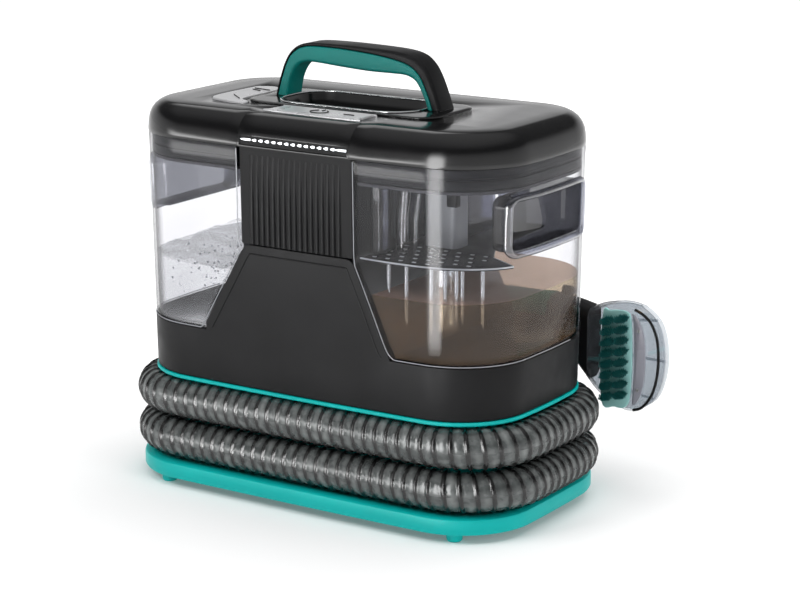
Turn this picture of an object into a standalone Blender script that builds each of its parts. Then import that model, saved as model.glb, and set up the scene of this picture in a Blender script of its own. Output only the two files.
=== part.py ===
"""Spot extractor: a portable carpet and upholstery cleaner with two pull-out
tanks, a hose stored in two turns round its base, and a hand tool docked on
the back. Lengths below are in millimetres, heights from the floor."""

import math

import bmesh
import bpy
from mathutils import Matrix, Vector

# ---------------------------------------------------------------- dimensions
MM = 0.001
SHIFT_X, SHIFT_Y = -4.83, -21.62      # puts the origin under the middle of the object
BODY_LOW = (180.0, 96.85, 62.3, 97.8)    # half length, half width, corner, height
BODY_HIGH = (183.6, 100.4, 65.9, 302.3)
BOW = 1.65                               # how far each long side bows out
BASE = (190.1, 107.9, 65.8)
BASE_Z = (7.0, 21.0)
TRIM_Z = (94.0, 97.5)
TUB_TOP = 141.9
WALL = 3.0
HUMP = [(-94.0, 142.3), (-94.0, 150.0), (-84.0, 165.0), (-58.0, 207.0), (-55.5, 214.0)]
HUMP_R = [(55.5, 217.0), (60.0, 209.0), (72.0, 182.0), (86.0, 151.0), (90.0, 142.3)]
HUMP_TOP = 221.0
TOWER_TOP = 301.6
COLUMN = 55.5                            # half width of the centre column
TOP_CREASE = (167.5, 84.3, 44.35, 328.9)
TANK_Z = (142.6, 301.9)
TANK_WALL = 2.6
GRIP_Y = (-60.0, 48.0)
GRIP_Z = (235.0, 275.0)
HOSE_R = 17.6
HOSE_RING = (182.0, 91.0, 56.0)
HOSE_Z = (75.8, 39.4)
TOOL_Y, TOOL_Z = 128.0, 138.0
FAN_Y = 22.0

# ------------------------------------------------------------------ clean up
for old in list(bpy.data.objects):
    bpy.data.objects.remove(old, do_unlink=True)

scene_root = bpy.context.scene.collection
parts = bpy.data.collections.new("spot_extractor")
cutters = bpy.data.collections.new("cutters")
cutters.hide_render = True
scene_root.children.link(parts)
scene_root.children.link(cutters)

root = bpy.data.objects.new("spot_extractor_origin", None)
root.location = (SHIFT_X * MM, SHIFT_Y * MM, 0.0)
parts.objects.link(root)


# ----------------------------------------------------------------- materials
def material(name, colour, roughness, metallic=0.0, alpha=1.0):
    mat = bpy.data.materials.new(name)
    mat.use_nodes = True
    shader = mat.node_tree.nodes["Principled BSDF"]
    shader.inputs["Base Color"].default_value = (*colour, 1.0)
    shader.inputs["Roughness"].default_value = roughness
    shader.inputs["Metallic"].default_value = metallic
    shader.inputs["Alpha"].default_value = alpha
    mat.diffuse_color = (*colour, alpha)
    return mat


FINISH = {
    "black": ((0.012, 0.012, 0.013), 0.45, 0.0, 1.0),
    "gloss": ((0.008, 0.008, 0.009), 0.15, 0.0, 1.0),
    "teal": ((0.0, 0.36, 0.36), 0.4, 0.0, 1.0),
    "grip": ((0.0, 0.20, 0.19), 0.55, 0.0, 1.0),
    "smoke": ((0.30, 0.31, 0.33), 0.1, 0.0, 0.4),
    "clear": ((0.75, 0.78, 0.80), 0.08, 0.0, 0.4),
    "silver": ((0.62, 0.63, 0.64), 0.3, 0.9, 1.0),
    "steel": ((0.55, 0.55, 0.56), 0.35, 1.0, 1.0),
    "light": ((0.95, 0.97, 1.0), 0.3, 0.0, 1.0),
    "rubber": ((0.02, 0.02, 0.02), 0.85, 0.0, 1.0),
    "hose": ((0.10, 0.10, 0.10), 0.5, 0.0, 1.0),
    "white": ((0.80, 0.80, 0.78), 0.4, 0.0, 1.0),
    "board": ((0.02, 0.22, 0.08), 0.5, 0.0, 1.0),
}


def finish_of(obj, key):
    colour, rough, metal, alpha = FINISH[key]
    obj.data.materials.append(material(obj.name + "_finish", colour, rough, metal, alpha))


# ------------------------------------------------------------------- outlines
def rounded(a, b, r, z, n=6, bow=0.0, cx=0.0, cy=0.0):
    """A rounded rectangle, anticlockwise, with the long and short sides bowed out."""
    out = []
    for k, (sx, sy) in enumerate(((1, -1), (1, 1), (-1, 1), (-1, -1))):
        mx, my = sx * (a - r), sy * (b - r)
        start = (-90.0, 0.0, 90.0, 180.0)[k]
        for i in range(n + 1):
            t = math.radians(start + 90.0 * i / n)
            out.append([mx + r * math.cos(t), my + r * math.sin(t)])
        if bow:
            nx, ny = ((1, 1), (-1, 1), (-1, -1), (1, -1))[k]
            last = out[-1]
            mx2, my2 = nx * (a - r), ny * (b - r)
            t = math.radians(start + 90.0)
            following = [mx2 + r * math.cos(t), my2 + r * math.sin(t)]
            for j in (1, 2, 3):
                f = j / 4
                out.append([last[0] + (following[0] - last[0]) * f, last[1] + (following[1] - last[1]) * f])
    if bow:
        for p in out:
            ax, ay = abs(p[0]) / (a - r), abs(p[1]) / max(b - r, 1.0)
            if ax < 1.0:
                p[1] += math.copysign(bow * (1 - ax * ax), p[1])
            if ay < 1.0:
                p[0] += math.copysign(bow * 0.6 * (1 - ay * ay), p[0])
    return [(x + cx, y + cy, z) for x, y in out]


def body(z, inset=0.0, n=6, bow=BOW):
    f = (z - BODY_LOW[3]) / (BODY_HIGH[3] - BODY_LOW[3])
    a, b, r = (BODY_LOW[i] + (BODY_HIGH[i] - BODY_LOW[i]) * f for i in range(3))
    return rounded(a - inset, b - inset, max(r - inset, 3.0), z, n, bow)


def dee(side, x0, inset, z, n=6):
    """One end of the body's outline, closed off by a straight edge at x0."""
    f = (z - BODY_LOW[3]) / (BODY_HIGH[3] - BODY_LOW[3])
    a, b, r = (BODY_LOW[i] + (BODY_HIGH[i] - BODY_LOW[i]) * f - inset for i in range(3))
    pts = [(x0, -b - BOW * 0.75), (x0 + (a - r - x0) * 0.5, -b - BOW * 0.4)]
    for sy, start in ((-1, -90.0), (1, 0.0)):
        for i in range(n + 1):
            t = math.radians(start + 90.0 * i / n)
            pts.append((a - r + r * math.cos(t), sy * (b - r) + r * math.sin(t)))
    pts += [(x0 + (a - r - x0) * 0.5, b + BOW * 0.4), (x0, b + BOW * 0.75)]
    pts = [(side * x, y, z) for x, y in pts]
    return pts if side > 0 else pts[::-1]


def circle(r, z, n=24, cx=0.0, cy=0.0):
    return [(cx + r * math.cos(2 * math.pi * i / n), cy + r * math.sin(2 * math.pi * i / n), z) for i in range(n)]


# -------------------------------------------------------------------- solids
def put(name, bm, key, origin=(0.0, 0.0, 0.0), cutter=False):
    """Turns a bmesh drawn in millimetres into an object whose origin is at the given point."""
    bmesh.ops.recalc_face_normals(bm, faces=bm.faces[:])
    if bm.calc_volume(signed=True) < 0:
        bmesh.ops.reverse_faces(bm, faces=bm.faces[:])
    at = Vector(origin)
    for v in bm.verts:
        v.co = (v.co - at) * MM
    mesh = bpy.data.meshes.new(name)
    bm.to_mesh(mesh)
    bm.free()
    obj = bpy.data.objects.new(name, mesh)
    obj.location = at * MM
    obj.parent = root
    if cutter:
        cutters.objects.link(obj)
        obj.hide_render = True
        obj.display_type = "WIRE"
    else:
        parts.objects.link(obj)
        finish_of(obj, key)
    return obj


def loft(name, sections, key="black", closed=False, **kw):
    """Skins a run of outlines that each have the same number of points."""
    bm = bmesh.new()
    rings = [[bm.verts.new(p) for p in s] for s in sections]
    count = len(rings[0])
    pairs = list(zip(rings, rings[1:]))
    if closed:
        pairs.append((rings[-1], rings[0]))
    for low, high in pairs:
        for i in range(count):
            j = (i + 1) % count
            bm.faces.new((low[i], low[j], high[j], high[i]))
    if not closed:
        bm.faces.new(rings[0][::-1])
        bm.faces.new(rings[-1])
    return put(name, bm, key, **kw)


def prism(name, outline, axis, low, high, key="black", bevel=0.0, segments=2, **kw):
    """Extrudes a flat outline along an axis."""
    place = {
        "x": lambda u, v, w: (w, u, v),
        "y": lambda u, v, w: (u, w, v),
        "z": lambda u, v, w: (u, v, w),
    }[axis]
    step = {"x": (high - low, 0, 0), "y": (0, high - low, 0), "z": (0, 0, high - low)}[axis]
    bm = bmesh.new()
    loop = [bm.verts.new(place(u, v, low)) for u, v in outline]
    edges = [bm.edges.new((p, q)) for p, q in zip(loop, loop[1:] + loop[:1])]
    face = bmesh.ops.edgeloop_fill(bm, edges=edges)["faces"][0]
    out = bmesh.ops.extrude_face_region(bm, geom=[face])
    bmesh.ops.translate(bm, vec=step, verts=[g for g in out["geom"] if isinstance(g, bmesh.types.BMVert)])
    bmesh.ops.recalc_face_normals(bm, faces=bm.faces[:])
    if bevel:
        i = "xyz".index(axis)
        edges = [e for e in bm.edges if abs(e.verts[0].co[i] - e.verts[1].co[i]) < 1e-4 and not any(
            abs(f.normal[i]) < 0.5 for f in e.link_faces) is False]
        edges = [e for e in edges if any(abs(f.normal[i]) > 0.5 for f in e.link_faces)]
        bmesh.ops.bevel(bm, geom=edges, offset=bevel, segments=segments, affect="EDGES", clamp_overlap=True)
    return put(name, bm, key, **kw)


def block(name, x, y, z, key="black", bevel=0.0, segments=2, **kw):
    bm = bmesh.new()
    size = (x[1] - x[0], y[1] - y[0], z[1] - z[0])
    middle = ((x[0] + x[1]) / 2, (y[0] + y[1]) / 2, (z[0] + z[1]) / 2)
    bmesh.ops.create_cube(bm, size=1.0, matrix=Matrix.Translation(middle) @ Matrix.Diagonal((*size, 1.0)))
    if bevel:
        bmesh.ops.bevel(bm, geom=bm.edges[:], offset=bevel, segments=segments, affect="EDGES")
    return put(name, bm, key, **kw)


def pipe(bm, start, end, r1, r2=None, n=20):
    """Adds a cylinder or a cone between two points."""
    a, b = Vector(start), Vector(end)
    d = b - a
    turn = d.to_track_quat("Z", "Y").to_matrix().to_4x4()
    bmesh.ops.create_cone(bm, cap_ends=True, segments=n, radius1=r1, radius2=r1 if r2 is None else r2,
                          depth=d.length, matrix=Matrix.Translation((a + b) / 2) @ turn)


def rod(name, start, end, r1, r2=None, n=20, key="black", **kw):
    bm = bmesh.new()
    pipe(bm, start, end, r1, r2, n)
    return put(name, bm, key, **kw)


def turned(name, profile, base, direction, n=24, key="black", **kw):
    """Revolves a closed profile of (radius, height) about an axis."""
    turn = Vector(direction).to_track_quat("Z", "Y").to_matrix()
    at = Vector(base)
    bm = bmesh.new()
    loop = [bm.verts.new((r, 0.0, h)) for r, h in profile]
    edges = [bm.edges.new((loop[i], loop[(i + 1) % len(loop)])) for i in range(len(loop))]
    edges = [e for e in edges if max(e.verts[0].co.x, e.verts[1].co.x) > 1e-6]
    bmesh.ops.spin(bm, geom=edges, cent=(0, 0, 0), axis=(0, 0, 1), angle=2 * math.pi, steps=n, use_merge=True)
    bmesh.ops.remove_doubles(bm, verts=bm.verts[:], dist=0.0005)
    stray = [e for e in bm.edges if not e.link_faces]
    bmesh.ops.delete(bm, geom=stray, context="EDGES")
    for v in bm.verts:
        v.co = turn @ v.co + at
    return put(name, bm, key, **kw)


def smooth(points, step):
    """Points at even steps along a Catmull-Rom curve."""
    pts = [Vector(p) for p in points]
    fine = []
    for i in range(len(pts) - 1):
        p0, p1, p2, p3 = pts[max(i - 1, 0)], pts[i], pts[i + 1], pts[min(i + 2, len(pts) - 1)]
        for k in range(24):
            t = k / 24
            fine.append(0.5 * ((2 * p1) + (p2 - p0) * t + (2 * p0 - 5 * p1 + 4 * p2 - p3) * t * t
                               + (3 * p1 - p0 - 3 * p2 + p3) * t ** 3))
    fine.append(pts[-1])
    length = sum((b - a).length for a, b in zip(fine, fine[1:]))
    count = max(2, round(length / step))
    out, goal, run = [fine[0]], length / count, 0.0
    for a, b in zip(fine, fine[1:]):
        seg = (b - a).length
        while run + seg >= goal - 1e-9 and len(out) < count:
            f = (goal - run) / seg
            out.append(a.lerp(b, f))
            a, seg, run = out[-1], (b - out[-1]).length, 0.0
        run += seg
    out.append(fine[-1])
    return out


def hose_like(name, points, radius, key, resolution=2):
    """A round tube along a run of points, as a curve with a bevel and filled ends."""
    data = bpy.data.curves.new(name, "CURVE")
    data.dimensions = "3D"
    data.bevel_depth = radius * MM
    data.bevel_resolution = resolution
    data.use_fill_caps = True
    spline = data.splines.new("POLY")
    spline.points.add(len(points) - 1)
    for p, q in zip(spline.points, points):
        p.co = (q[0] * MM, q[1] * MM, q[2] * MM, 1.0)
    obj = bpy.data.objects.new(name, data)
    obj.parent = root
    parts.objects.link(obj)
    finish_of(obj, key)
    return obj


def cut(obj, tool, operation="DIFFERENCE"):
    mod = obj.modifiers.new(operation.lower() + "_" + tool.name, "BOOLEAN")
    mod.operation = operation
    mod.solver = "EXACT"
    mod.object = tool


def tower_outline(grow, low, high=TOWER_TOP):
    """The centre tower seen from the front, grown sideways by a clearance."""
    lift = grow * 0.6
    left = [(HUMP[0][0] - grow, low)] + [(x - grow, z + lift) for x, z in HUMP[1:]]
    right = [(x + grow, z + lift) for x, z in HUMP_R[:-1]] + [(HUMP_R[-1][0] + grow, 142.3)]
    if low < 142.3:
        right.append((HUMP_R[-1][0] + grow, low))
    return left + [(-COLUMN - grow, high), (COLUMN + grow, high)] + right


# =================================================================== the base
base_plate = loft("base_plate", [
    rounded(*[v - 2.0 for v in BASE], 7.0, bow=0.8),
    rounded(*BASE, 9.5, bow=0.8),
    rounded(*BASE, 18.5, bow=0.8),
    rounded(*[v - 2.2 for v in BASE], 21.0, bow=0.8),
], "teal")
base_hollow = loft("base_hollow", [
    rounded(*[v - 5.0 for v in BASE], 5.0, bow=0.8),
    rounded(*[v - 5.5 for v in BASE], 17.5, bow=0.8),
], cutter=True)
cut(base_plate, base_hollow)
FEET = {"foot_front_left": (-140, -94), "foot_front_right": (148, -92),
        "foot_rear_left": (-145, 92), "foot_rear_right": (145, 92)}
SCREWS = {"base_screw_front_left": (-110, -42), "base_screw_front_right": (110, -42),
          "base_screw_rear_left": (-110, 42), "base_screw_rear_right": (110, 42)}
bosses = bmesh.new()
for x, y in FEET.values():
    pipe(bosses, (x, y, 7.0), (x, y, 18.5), 10.0, n=12)
cut(base_plate, put("foot_bosses", bosses, None, cutter=True), "UNION")
holes = bmesh.new()
for x, y in SCREWS.values():
    pipe(holes, (x, y, 10.0), (x, y, 30.0), 2.4, n=12)
screw_holes = put("screw_holes", holes, None, cutter=True)
cut(base_plate, screw_holes)
for name, (x, y) in FEET.items():
    turned(name, [(0, 0), (5.4, 0), (6.5, 1.2), (6.9, 6.8), (0, 6.8)], (x, y, 0), (0, 0, 1), 14, "teal")
for name, (x, y) in SCREWS.items():
    turned(name, [(0, 14.4), (4.2, 14.4), (3.8, 17.3), (2.1, 17.3), (2.1, 30.0), (0, 30.0)],
           (x, y, 0), (0, 0, 1), 10, "steel")

core = loft("hose_core", [
    rounded(162.0, 71.0, 40.0, 21.3), rounded(162.0, 71.0, 40.0, 93.7),
    rounded(159.0, 68.0, 37.0, 93.7), rounded(159.0, 68.0, 37.0, 24.3),
], "teal")
cut(core, screw_holes)

loft("trim_plate", [
    rounded(178.8, 95.6, 61.2, TRIM_Z[0], bow=BOW), rounded(180.8, 97.7, 63.0, TRIM_Z[0] + 1.0, bow=BOW),
    rounded(180.8, 97.7, 63.0, TRIM_Z[1], bow=BOW),
], "teal")

# ================================================================ the housing
housing = loft("main_housing", [
    body(97.8, 1.2), body(99.0), body(120.0), body(TUB_TOP), body(TUB_TOP, WALL), body(101.2, WALL),
], "black")
fascia = [(-94.0, 124.0)] + HUMP[1:4] + [(-53.5, 216.5), (-48.0, HUMP_TOP), (50.0, HUMP_TOP), (55.0, 217.5)] + HUMP_R[1:4] + [
    (90.0, 142.3), (90.0, 124.0)]
cut(housing, prism("front_hump", fascia, "y", -99.4, -95.9, cutter=True), "UNION")
cut(housing, block("exhaust_opening", (-30, 30), (85, 110), (108, 134), cutter=True))
cut(housing, rod("gland_hole", (52, 85, 112), (52, 110, 112), 6.4, cutter=True, n=16))
cut(housing, rod("hose_hole", (-84, 85, 116), (-84, 110, 116), 14.0, cutter=True, n=20))

deck_outer = [body(138.4, WALL + 0.4), body(141.5, WALL + 0.4)]
deck_inner = [rounded(88.0, 88.0, 20.0, 141.5, bow=0.01), rounded(88.0, 88.0, 20.0, 138.4, bow=0.01)]
deck = loft("tank_deck", deck_outer + deck_inner, "black", closed=True)

tower = prism("centre_tower", tower_outline(0.0, 142.3), "y", -95.5, 98.0, "black")
tower_inside = tower_outline(-3.0, 130.0, TOWER_TOP - 3.0)
cut(tower, prism("tower_hollow", tower_inside, "y", -92.5, 95.0, cutter=True))

comb = [(-54.8, -95.9), (54.8, -95.9)]
steps = 15
for i in range(steps):
    x = 41.0 - i * 82.0 / (steps - 1)
    comb += [(x + 2.0, -97.4), (x + 1.3, -98.9), (x - 1.3, -98.9), (x - 2.0, -97.4)]
comb = [comb[1]] + [(54.8, -97.4)] + comb[2:] + [(-54.8, -97.4), (-54.8, -95.9)]
prism("front_grille", comb, "z", 221.5, 301.6, "black")

# ============================================================== the top cover
LEAN = [(183.75, 100.55, 66.0, 302.3), (183.3, 100.1, 65.2, 309.0), (181.0, 97.8, 60.5, 317.0),
        (177.0, 93.8, 55.0, 323.2), (171.2, 88.0, 48.4, 327.5), (166.2, 83.0, 43.0, 328.9)]


def cap(name, grow, floor, **kw):
    rows = []
    for a, b, r, z in LEAN:
        rows.append(rounded(a + grow, b + grow, r + grow, z + min(grow, 0.0) if z > 303 else z, bow=BOW * max(0.0, (329 - z) / 27)
                            if z < 328 else 0.001))
    rows[0] = [(x, y, floor) for x, y, _ in rows[0]]
    return loft(name, rows, **kw)


cover = cap("top_cover", 0.0, 302.3, key="gloss")
cover_inside = cap("cover_hollow", -3.0, 296.0, cutter=True)
cut(cover, cover_inside)
bezel_zone = block("bezel_zone", (-56.3, 53.5), (-120, -82.6), (290, 340), cutter=True)
cut(cover, bezel_zone)
well_hole = loft("well_hole", [rounded(74.0, 35.0, 28.0, 300.0, cy=-8.0), rounded(74.0, 35.0, 28.0, 340.0, cy=-8.0)], cutter=True)
cut(cover, well_hole)
POWER = [(-41.5, -76.5), (41.0, -78.5), (45.5, -74.0), (44.0, -53.0), (40.0, -50.0), (-39.0, -50.0), (-43.0, -54.0), (-45.0, -72.0)]
RELEASE = [(-124.0, -44.0), (-100.0, -57.0), (-84.0, -57.5), (-80.5, -53.0), (-84.0, -49.0), (-95.5, -38.0), (-97.5, 10.0),
           (-103.0, 23.0), (-111.0, 26.5), (-120.5, 23.0), (-125.0, 14.0)]


def grown(outline, d):
    """The outline with every side moved outwards."""
    area = sum(p[0] * q[1] - q[0] * p[1] for p, q in zip(outline, outline[1:] + outline[:1]))
    out = []
    for i, here in enumerate(outline):
        before, after = Vector(outline[i - 1]), Vector(outline[(i + 1) % len(outline)])
        one, two = (Vector(here) - before).normalized(), (after - Vector(here)).normalized()
        n1, n2 = Vector((one.y, -one.x)), Vector((two.y, -two.x))
        move = (n1 + n2) / max(1.0 + n1.dot(n2), 0.3) * d
        if area < 0:
            move = -move
        out.append((here[0] + move.x, here[1] + move.y))
    return out


cut(cover, prism("power_hole", grown(POWER, 1.4), "z", 310, 340, cutter=True))
cut(cover, prism("release_hole", grown(RELEASE, 1.6), "z", 310, 340, cutter=True))

bezel = cap("front_bezel", 0.0, 302.3, key="gloss")
cut(bezel, block("bezel_keep", (-56.0, 53.2), (-120, -86.0), (290, 340), cutter=True), "INTERSECT")
cut(bezel, cap("bezel_hollow", -3.6, 296.0, cutter=True))
cut(bezel, block("strip_slot", (-54.0, 51.6), (-120, -98.4), (304.4, 311.4), cutter=True))
strip = cap("light_strip", -0.25, 302.3, key="light")
cut(strip, block("strip_keep", (-53.7, 51.3), (-120, -98.8), (304.7, 311.1), cutter=True), "INTERSECT")

# ========================================================= carry handle, well
well = [(70.0, 31.0, 24.0, 311.5), (73.6, 34.6, 27.0, 325.4), (73.6, 34.6, 27.0, 329.2), (93.0, 38.5, 17.0, 329.2),
        (93.0, 38.5, 17.0, 330.0), (92.2, 37.7, 16.2, 330.6), (66.6, 33.0, 27.0, 330.6), (63.6, 30.0, 24.0, 314.2)]
loft("handle_island", [rounded(a, b, r, z, cx=1.5 if a > 90 else 0.0, cy=-8.0) for a, b, r, z in well], "gloss")
loft("well_trim", [rounded(a, b, r, z, cy=-8.0) for a, b, r, z in (
    (68.6, 35.2, 29.2, 330.9), (68.6, 35.2, 29.2, 331.9), (66.9, 33.5, 27.5, 331.9), (66.9, 33.5, 27.5, 330.9))],
    "silver", closed=True)

OUTER = [(-81.2, 330.9), (-78.0, 342.0), (-75.2, 350.0), (-71.8, 359.0), (-66.0, 368.0), (-57.0, 374.6), (-44.0, 377.3), (-15.0, 377.9),
         (20.0, 377.4), (44.0, 376.2), (57.5, 373.0), (66.0, 366.5), (71.5, 358.5), (75.5, 350.0), (79.0, 341.0), (82.8, 330.9)]
INNER = [(-69.8, 330.9), (-68.2, 340.0), (-66.0, 347.0), (-62.5, 353.5), (-58.0, 358.0), (-50.0, 360.6), (-38.0, 360.6), (-15.0, 359.0),
         (12.0, 357.6), (34.0, 357.6), (48.0, 357.2), (56.5, 354.0), (61.5, 348.5), (65.0, 342.5), (67.8, 337.0), (69.8, 330.9)]
share = 0.56
middle = [(i[0] + (o[0] - i[0]) * share, i[1] + (o[1] - i[1]) * share) for o, i in zip(OUTER, INNER)]
seam = [(m[0] + (i[0] - m[0]) * 0.045, m[1] + (i[1] - m[1]) * 0.045) for m, i in zip(middle, INNER)]
prism("handle_frame", OUTER + middle[::-1], "y", -12.0, 12.0, "black", bevel=1.6)
prism("handle_grip", seam + INNER[::-1], "y", -11.6, 11.6, "grip", bevel=1.4)

# ==================================================================== buttons
prism("power_button", POWER, "z", 322.6, 330.6, "silver", bevel=0.8, origin=(0, -64, 322.6))
prism("release_button", RELEASE, "z", 322.6, 330.4, "silver", bevel=0.8, origin=(-104, -20, 322.6))


def coil(name, x, y, z0, z1, radius, wire, turns, key="steel"):
    n = turns * 10
    pts = [(x + radius * math.cos(2 * math.pi * i / 10), y + radius * math.sin(2 * math.pi * i / 10), z0 + (z1 - z0) * i / n)
           for i in range(n + 1)]
    return hose_like(name, pts, wire, key, 0)


block("power_switch", (-12, 12), (-72, -56), (311.0, 317.0), "black", 0.6)
coil("power_button_spring", 0, -64, 317.7, 321.8, 4.0, 0.45, 3)

# ====================================================================== tanks
for side, prefix in ((-1, "clean"), (1, "dirty")):
    start = 56.6
    tank = loft(prefix + "_tank", [
        dee(side, start, 1.6, TANK_Z[0]), dee(side, start, 0.1, TANK_Z[0] + 2.4), dee(side, start, 0.1, TANK_Z[1]),
    ], "smoke")
    cut(tank, prism(prefix + "_tower_gap", tower_outline(0.7, 130.0, 320.0), "y", -130.0, 130.0, cutter=True))
    cavity = loft(prefix + "_cavity", [
        dee(side, start + TANK_WALL, TANK_WALL + 1.0, TANK_Z[0] + TANK_WALL), dee(side, start + TANK_WALL, TANK_WALL + 0.1, 152.0),
        dee(side, start + TANK_WALL, TANK_WALL + 0.1, 306.0),
    ], cutter=True)
    cut(cavity, prism(prefix + "_inner_gap", tower_outline(0.7 + TANK_WALL, 130.0, 320.0), "y", -130.0, 130.0, cutter=True))
    xs = sorted((side * 161.5, side * 200.0))
    cut(cavity, block(prefix + "_grip_wall", xs, (GRIP_Y[0] - 2.6, GRIP_Y[1] + 2.6), (GRIP_Z[0] - 2.6, GRIP_Z[1] + 2.6), cutter=True))
    cut(tank, cavity)
    xs = sorted((side * 164.1, side * 205.0))
    cut(tank, block(prefix + "_grip_recess", xs, GRIP_Y, GRIP_Z, bevel=2.5, cutter=True))
    if side < 0:
        cut(tank, rod("clean_outlet_hole", (-135, 0, 130), (-135, 0, 150), 6.2, n=20, cutter=True))

    lid = [dee(side, start + 3.2, 3.4, 284.2), dee(side, start + 3.2, 3.4, 301.4), dee(side, start + 5.2, 5.4, 301.4),
           dee(side, start + 5.2, 5.4, 286.6)]
    loft(prefix + "_tank_lid", lid, "black")
    seal = [dee(side, start + 3.0, 3.0, 281.6), dee(side, start + 3.0, 3.0, 283.9),
            dee(side, start + 9.0, 9.0, 283.9), dee(side, start + 9.0, 9.0, 281.6)]
    loft(prefix + "_tank_seal", seal, "rubber", closed=True)

# the clean tank's outlet valve
turned("clean_valve_seat", [(3.6, 143.0), (5.9, 143.0), (5.9, 145.4), (9.5, 145.4), (9.5, 147.6), (3.6, 147.6)],
       (-135, 0, 0), (0, 0, 1), 20, "white")
turned("clean_valve_plunger", [(0, 144.0), (3.1, 144.0), (3.1, 147.9), (7.2, 147.9), (7.2, 150.0), (2.0, 151.5), (0, 151.5)],
       (-135, 0, 0), (0, 0, 1), 20, "rubber", origin=(-135, 0, 144.0))

# inside the dirty tank
shelf = loft("dirty_strainer", [dee(1, 60.4, 3.3, 220.6), dee(1, 60.4, 3.3, 223.2)], "black")
cut(shelf, prism("shelf_tower_gap", tower_outline(3.8, 130.0, 320.0), "y", -130.0, 130.0, cutter=True))
cut(shelf, prism("strainer_bay", [(181.0, -56.0), (150.0, -38.0), (135.0, -10.0), (127.0, 30.0), (124.0, 80.0), (122.0, 130.0),
                                  (260.0, 130.0), (260.0, -56.0)], "z", 215.0, 230.0, cutter=True))
for row in range(3):
    slots = bmesh.new()
    for i in range(5):
        pipe(slots, (70 + i * 13, -84 + row * 13, 215), (70 + i * 13, -84 + row * 13, 230), 3.4, n=8)
    cut(shelf, put("strainer_holes_%d" % row, slots, None, cutter=True))
duct = loft("intake_duct", [rounded(15, 26, 5, 223.6, 3, cx=80, cy=36), rounded(13, 26, 5, 281.2, 3, cx=80, cy=36),
                            rounded(11, 24, 3, 281.2, 3, cx=80, cy=36), rounded(13, 24, 3, 223.6, 3, cx=80, cy=36)],
            "clear", closed=True)
turned("separator_tube", [(9.0, 166.0), (11.0, 164.0), (11.0, 220.3), (9.0, 220.3)], (118, -58, 0), (0, 0, 1), 20, "clear")
turned("float_cage", [(9.6, 223.5), (11.6, 223.5), (11.6, 266.0), (0, 266.0), (0, 264.0), (9.6, 264.0)], (92, -20, 0), (0, 0, 1), 20,
       "clear")
turned("float_valve", [(0, 224.2), (7.4, 224.2), (9.0, 226.0), (9.0, 240.0), (7.0, 244.0), (2.6, 246.5), (0, 246.5)],
       (92, -20, 0), (0, 0, 1), 20, "white", origin=(92, -20, 224.2))

# ========================================================== motor, fan, pump
turned("fan_housing", [(0, 101.6), (42.0, 101.6), (44.0, 103.6), (44.0, 131.0), (41.2, 131.0), (41.2, 105.0), (0, 105.0)],
       (0, FAN_Y, 0), (0, 0, 1), 24, "black")
impeller = turned("impeller", [(0, 108.0), (37.0, 108.0), (37.0, 110.0), (11.0, 112.0), (9.0, 122.0), (3.0, 124.0), (3.0, 138.0), (0, 138.0)],
                  (0, FAN_Y, 0), (0, 0, 1), 24, "black", origin=(0, FAN_Y, 108.0))
blades = bmesh.new()
for i in range(7):
    spin = Matrix.Translation((0, FAN_Y, 0)) @ Matrix.Rotation(2 * math.pi * i / 7, 4, "Z") @ Matrix.Translation((22.5, 0, 114.5)) \
        @ Matrix.Rotation(math.radians(28), 4, "Z") @ Matrix.Diagonal((27.0, 1.8, 12.0, 1.0))
    bmesh.ops.create_cube(blades, size=1.0, matrix=spin)
cut(impeller, put("impeller_blades", blades, None, cutter=True), "UNION")
turned("vacuum_motor", [(4.4, 131.4), (43.6, 131.4), (43.6, 134.4), (36.0, 136.0), (36.0, 178.0), (30.0, 184.0), (30.0, 200.0), (0, 200.0),
                        (0, 140.5), (4.4, 140.5)], (0, FAN_Y, 0), (0, 0, 1), 24, "steel")
pump = block("pump", (-20, 20), (-78, -44), (101.6, 134.0), "white", 2.0)
cut(pump, rod("pump_barrel", (-34, -61, 118), (34, -61, 118), 12.0, n=20, cutter=True), "UNION")
hose_like("solution_line", smooth([(-135, 0, 128), (-135, -6, 118), (-118, -30, 110), (-80, -52, 110), (-56, -61, 117), (-38.6, -61, 118)], 12),
          4.0, "clear", 2)
hose_like("spray_feed_line", smooth([(38.6, -61, 118), (56, -58, 119), (70, -30, 116), (70, 20, 114), (60, 62, 112), (20, 78, 112), (-30, 80, 114),
                                     (-60, 78, 116), (-72, 74, 116)], 14), 3.2, "clear", 1)
block("control_board", (-44, 44), (-84.0, -82.0), (232, 290), "board", 0.3)

# ================================================== rear: vents, gland, cuffs
louvre = block("exhaust_grille", (-29.6, 29.6), (94.6, 99.2), (108.4, 133.6), "black", 0.4)
slats = bmesh.new()
for i in range(5):
    bmesh.ops.create_cube(slats, size=1.0, matrix=Matrix.Translation((0, 97, 112.6 + i * 4.2)) @ Matrix.Diagonal((50.0, 12.0, 2.0, 1.0)))
cut(louvre, put("louvre_slots", slats, None, cutter=True))
gland = turned("cord_gland", [(3.4, 90.0), (6.1, 90.0), (6.1, 99.2), (10.0, 99.2), (10.0, 102.0), (7.0, 103.4), (5.6, 116.0), (3.4, 116.0)],
               (52, 0, 112), (0, 1, 0), 20, "rubber")
outlet = block("hose_outlet_elbow", (-103.0, -66.0), (99.4, 141.0), (94.6, 137.6), "black", 5.0, 3)
cut(outlet, rod("hose_socket", (-110, 119, 116), (-86, 119, 116), HOSE_R + 1.6, n=28, cutter=True))
spigot = rod("outlet_spigot", (-84, 86.0, 116), (-84, 101.0, 116), 13.4, n=20, cutter=True)
cut(outlet, spigot, "UNION")
dock = [(98.2, 111.0), (150.5, 111.0), (152.0, 113.0), (152.0, 131.0), (148.0, 131.0), (146.5, 118.0), (104.0, 118.0), (102.4, 139.0), (100.2, 139.0)]
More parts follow.
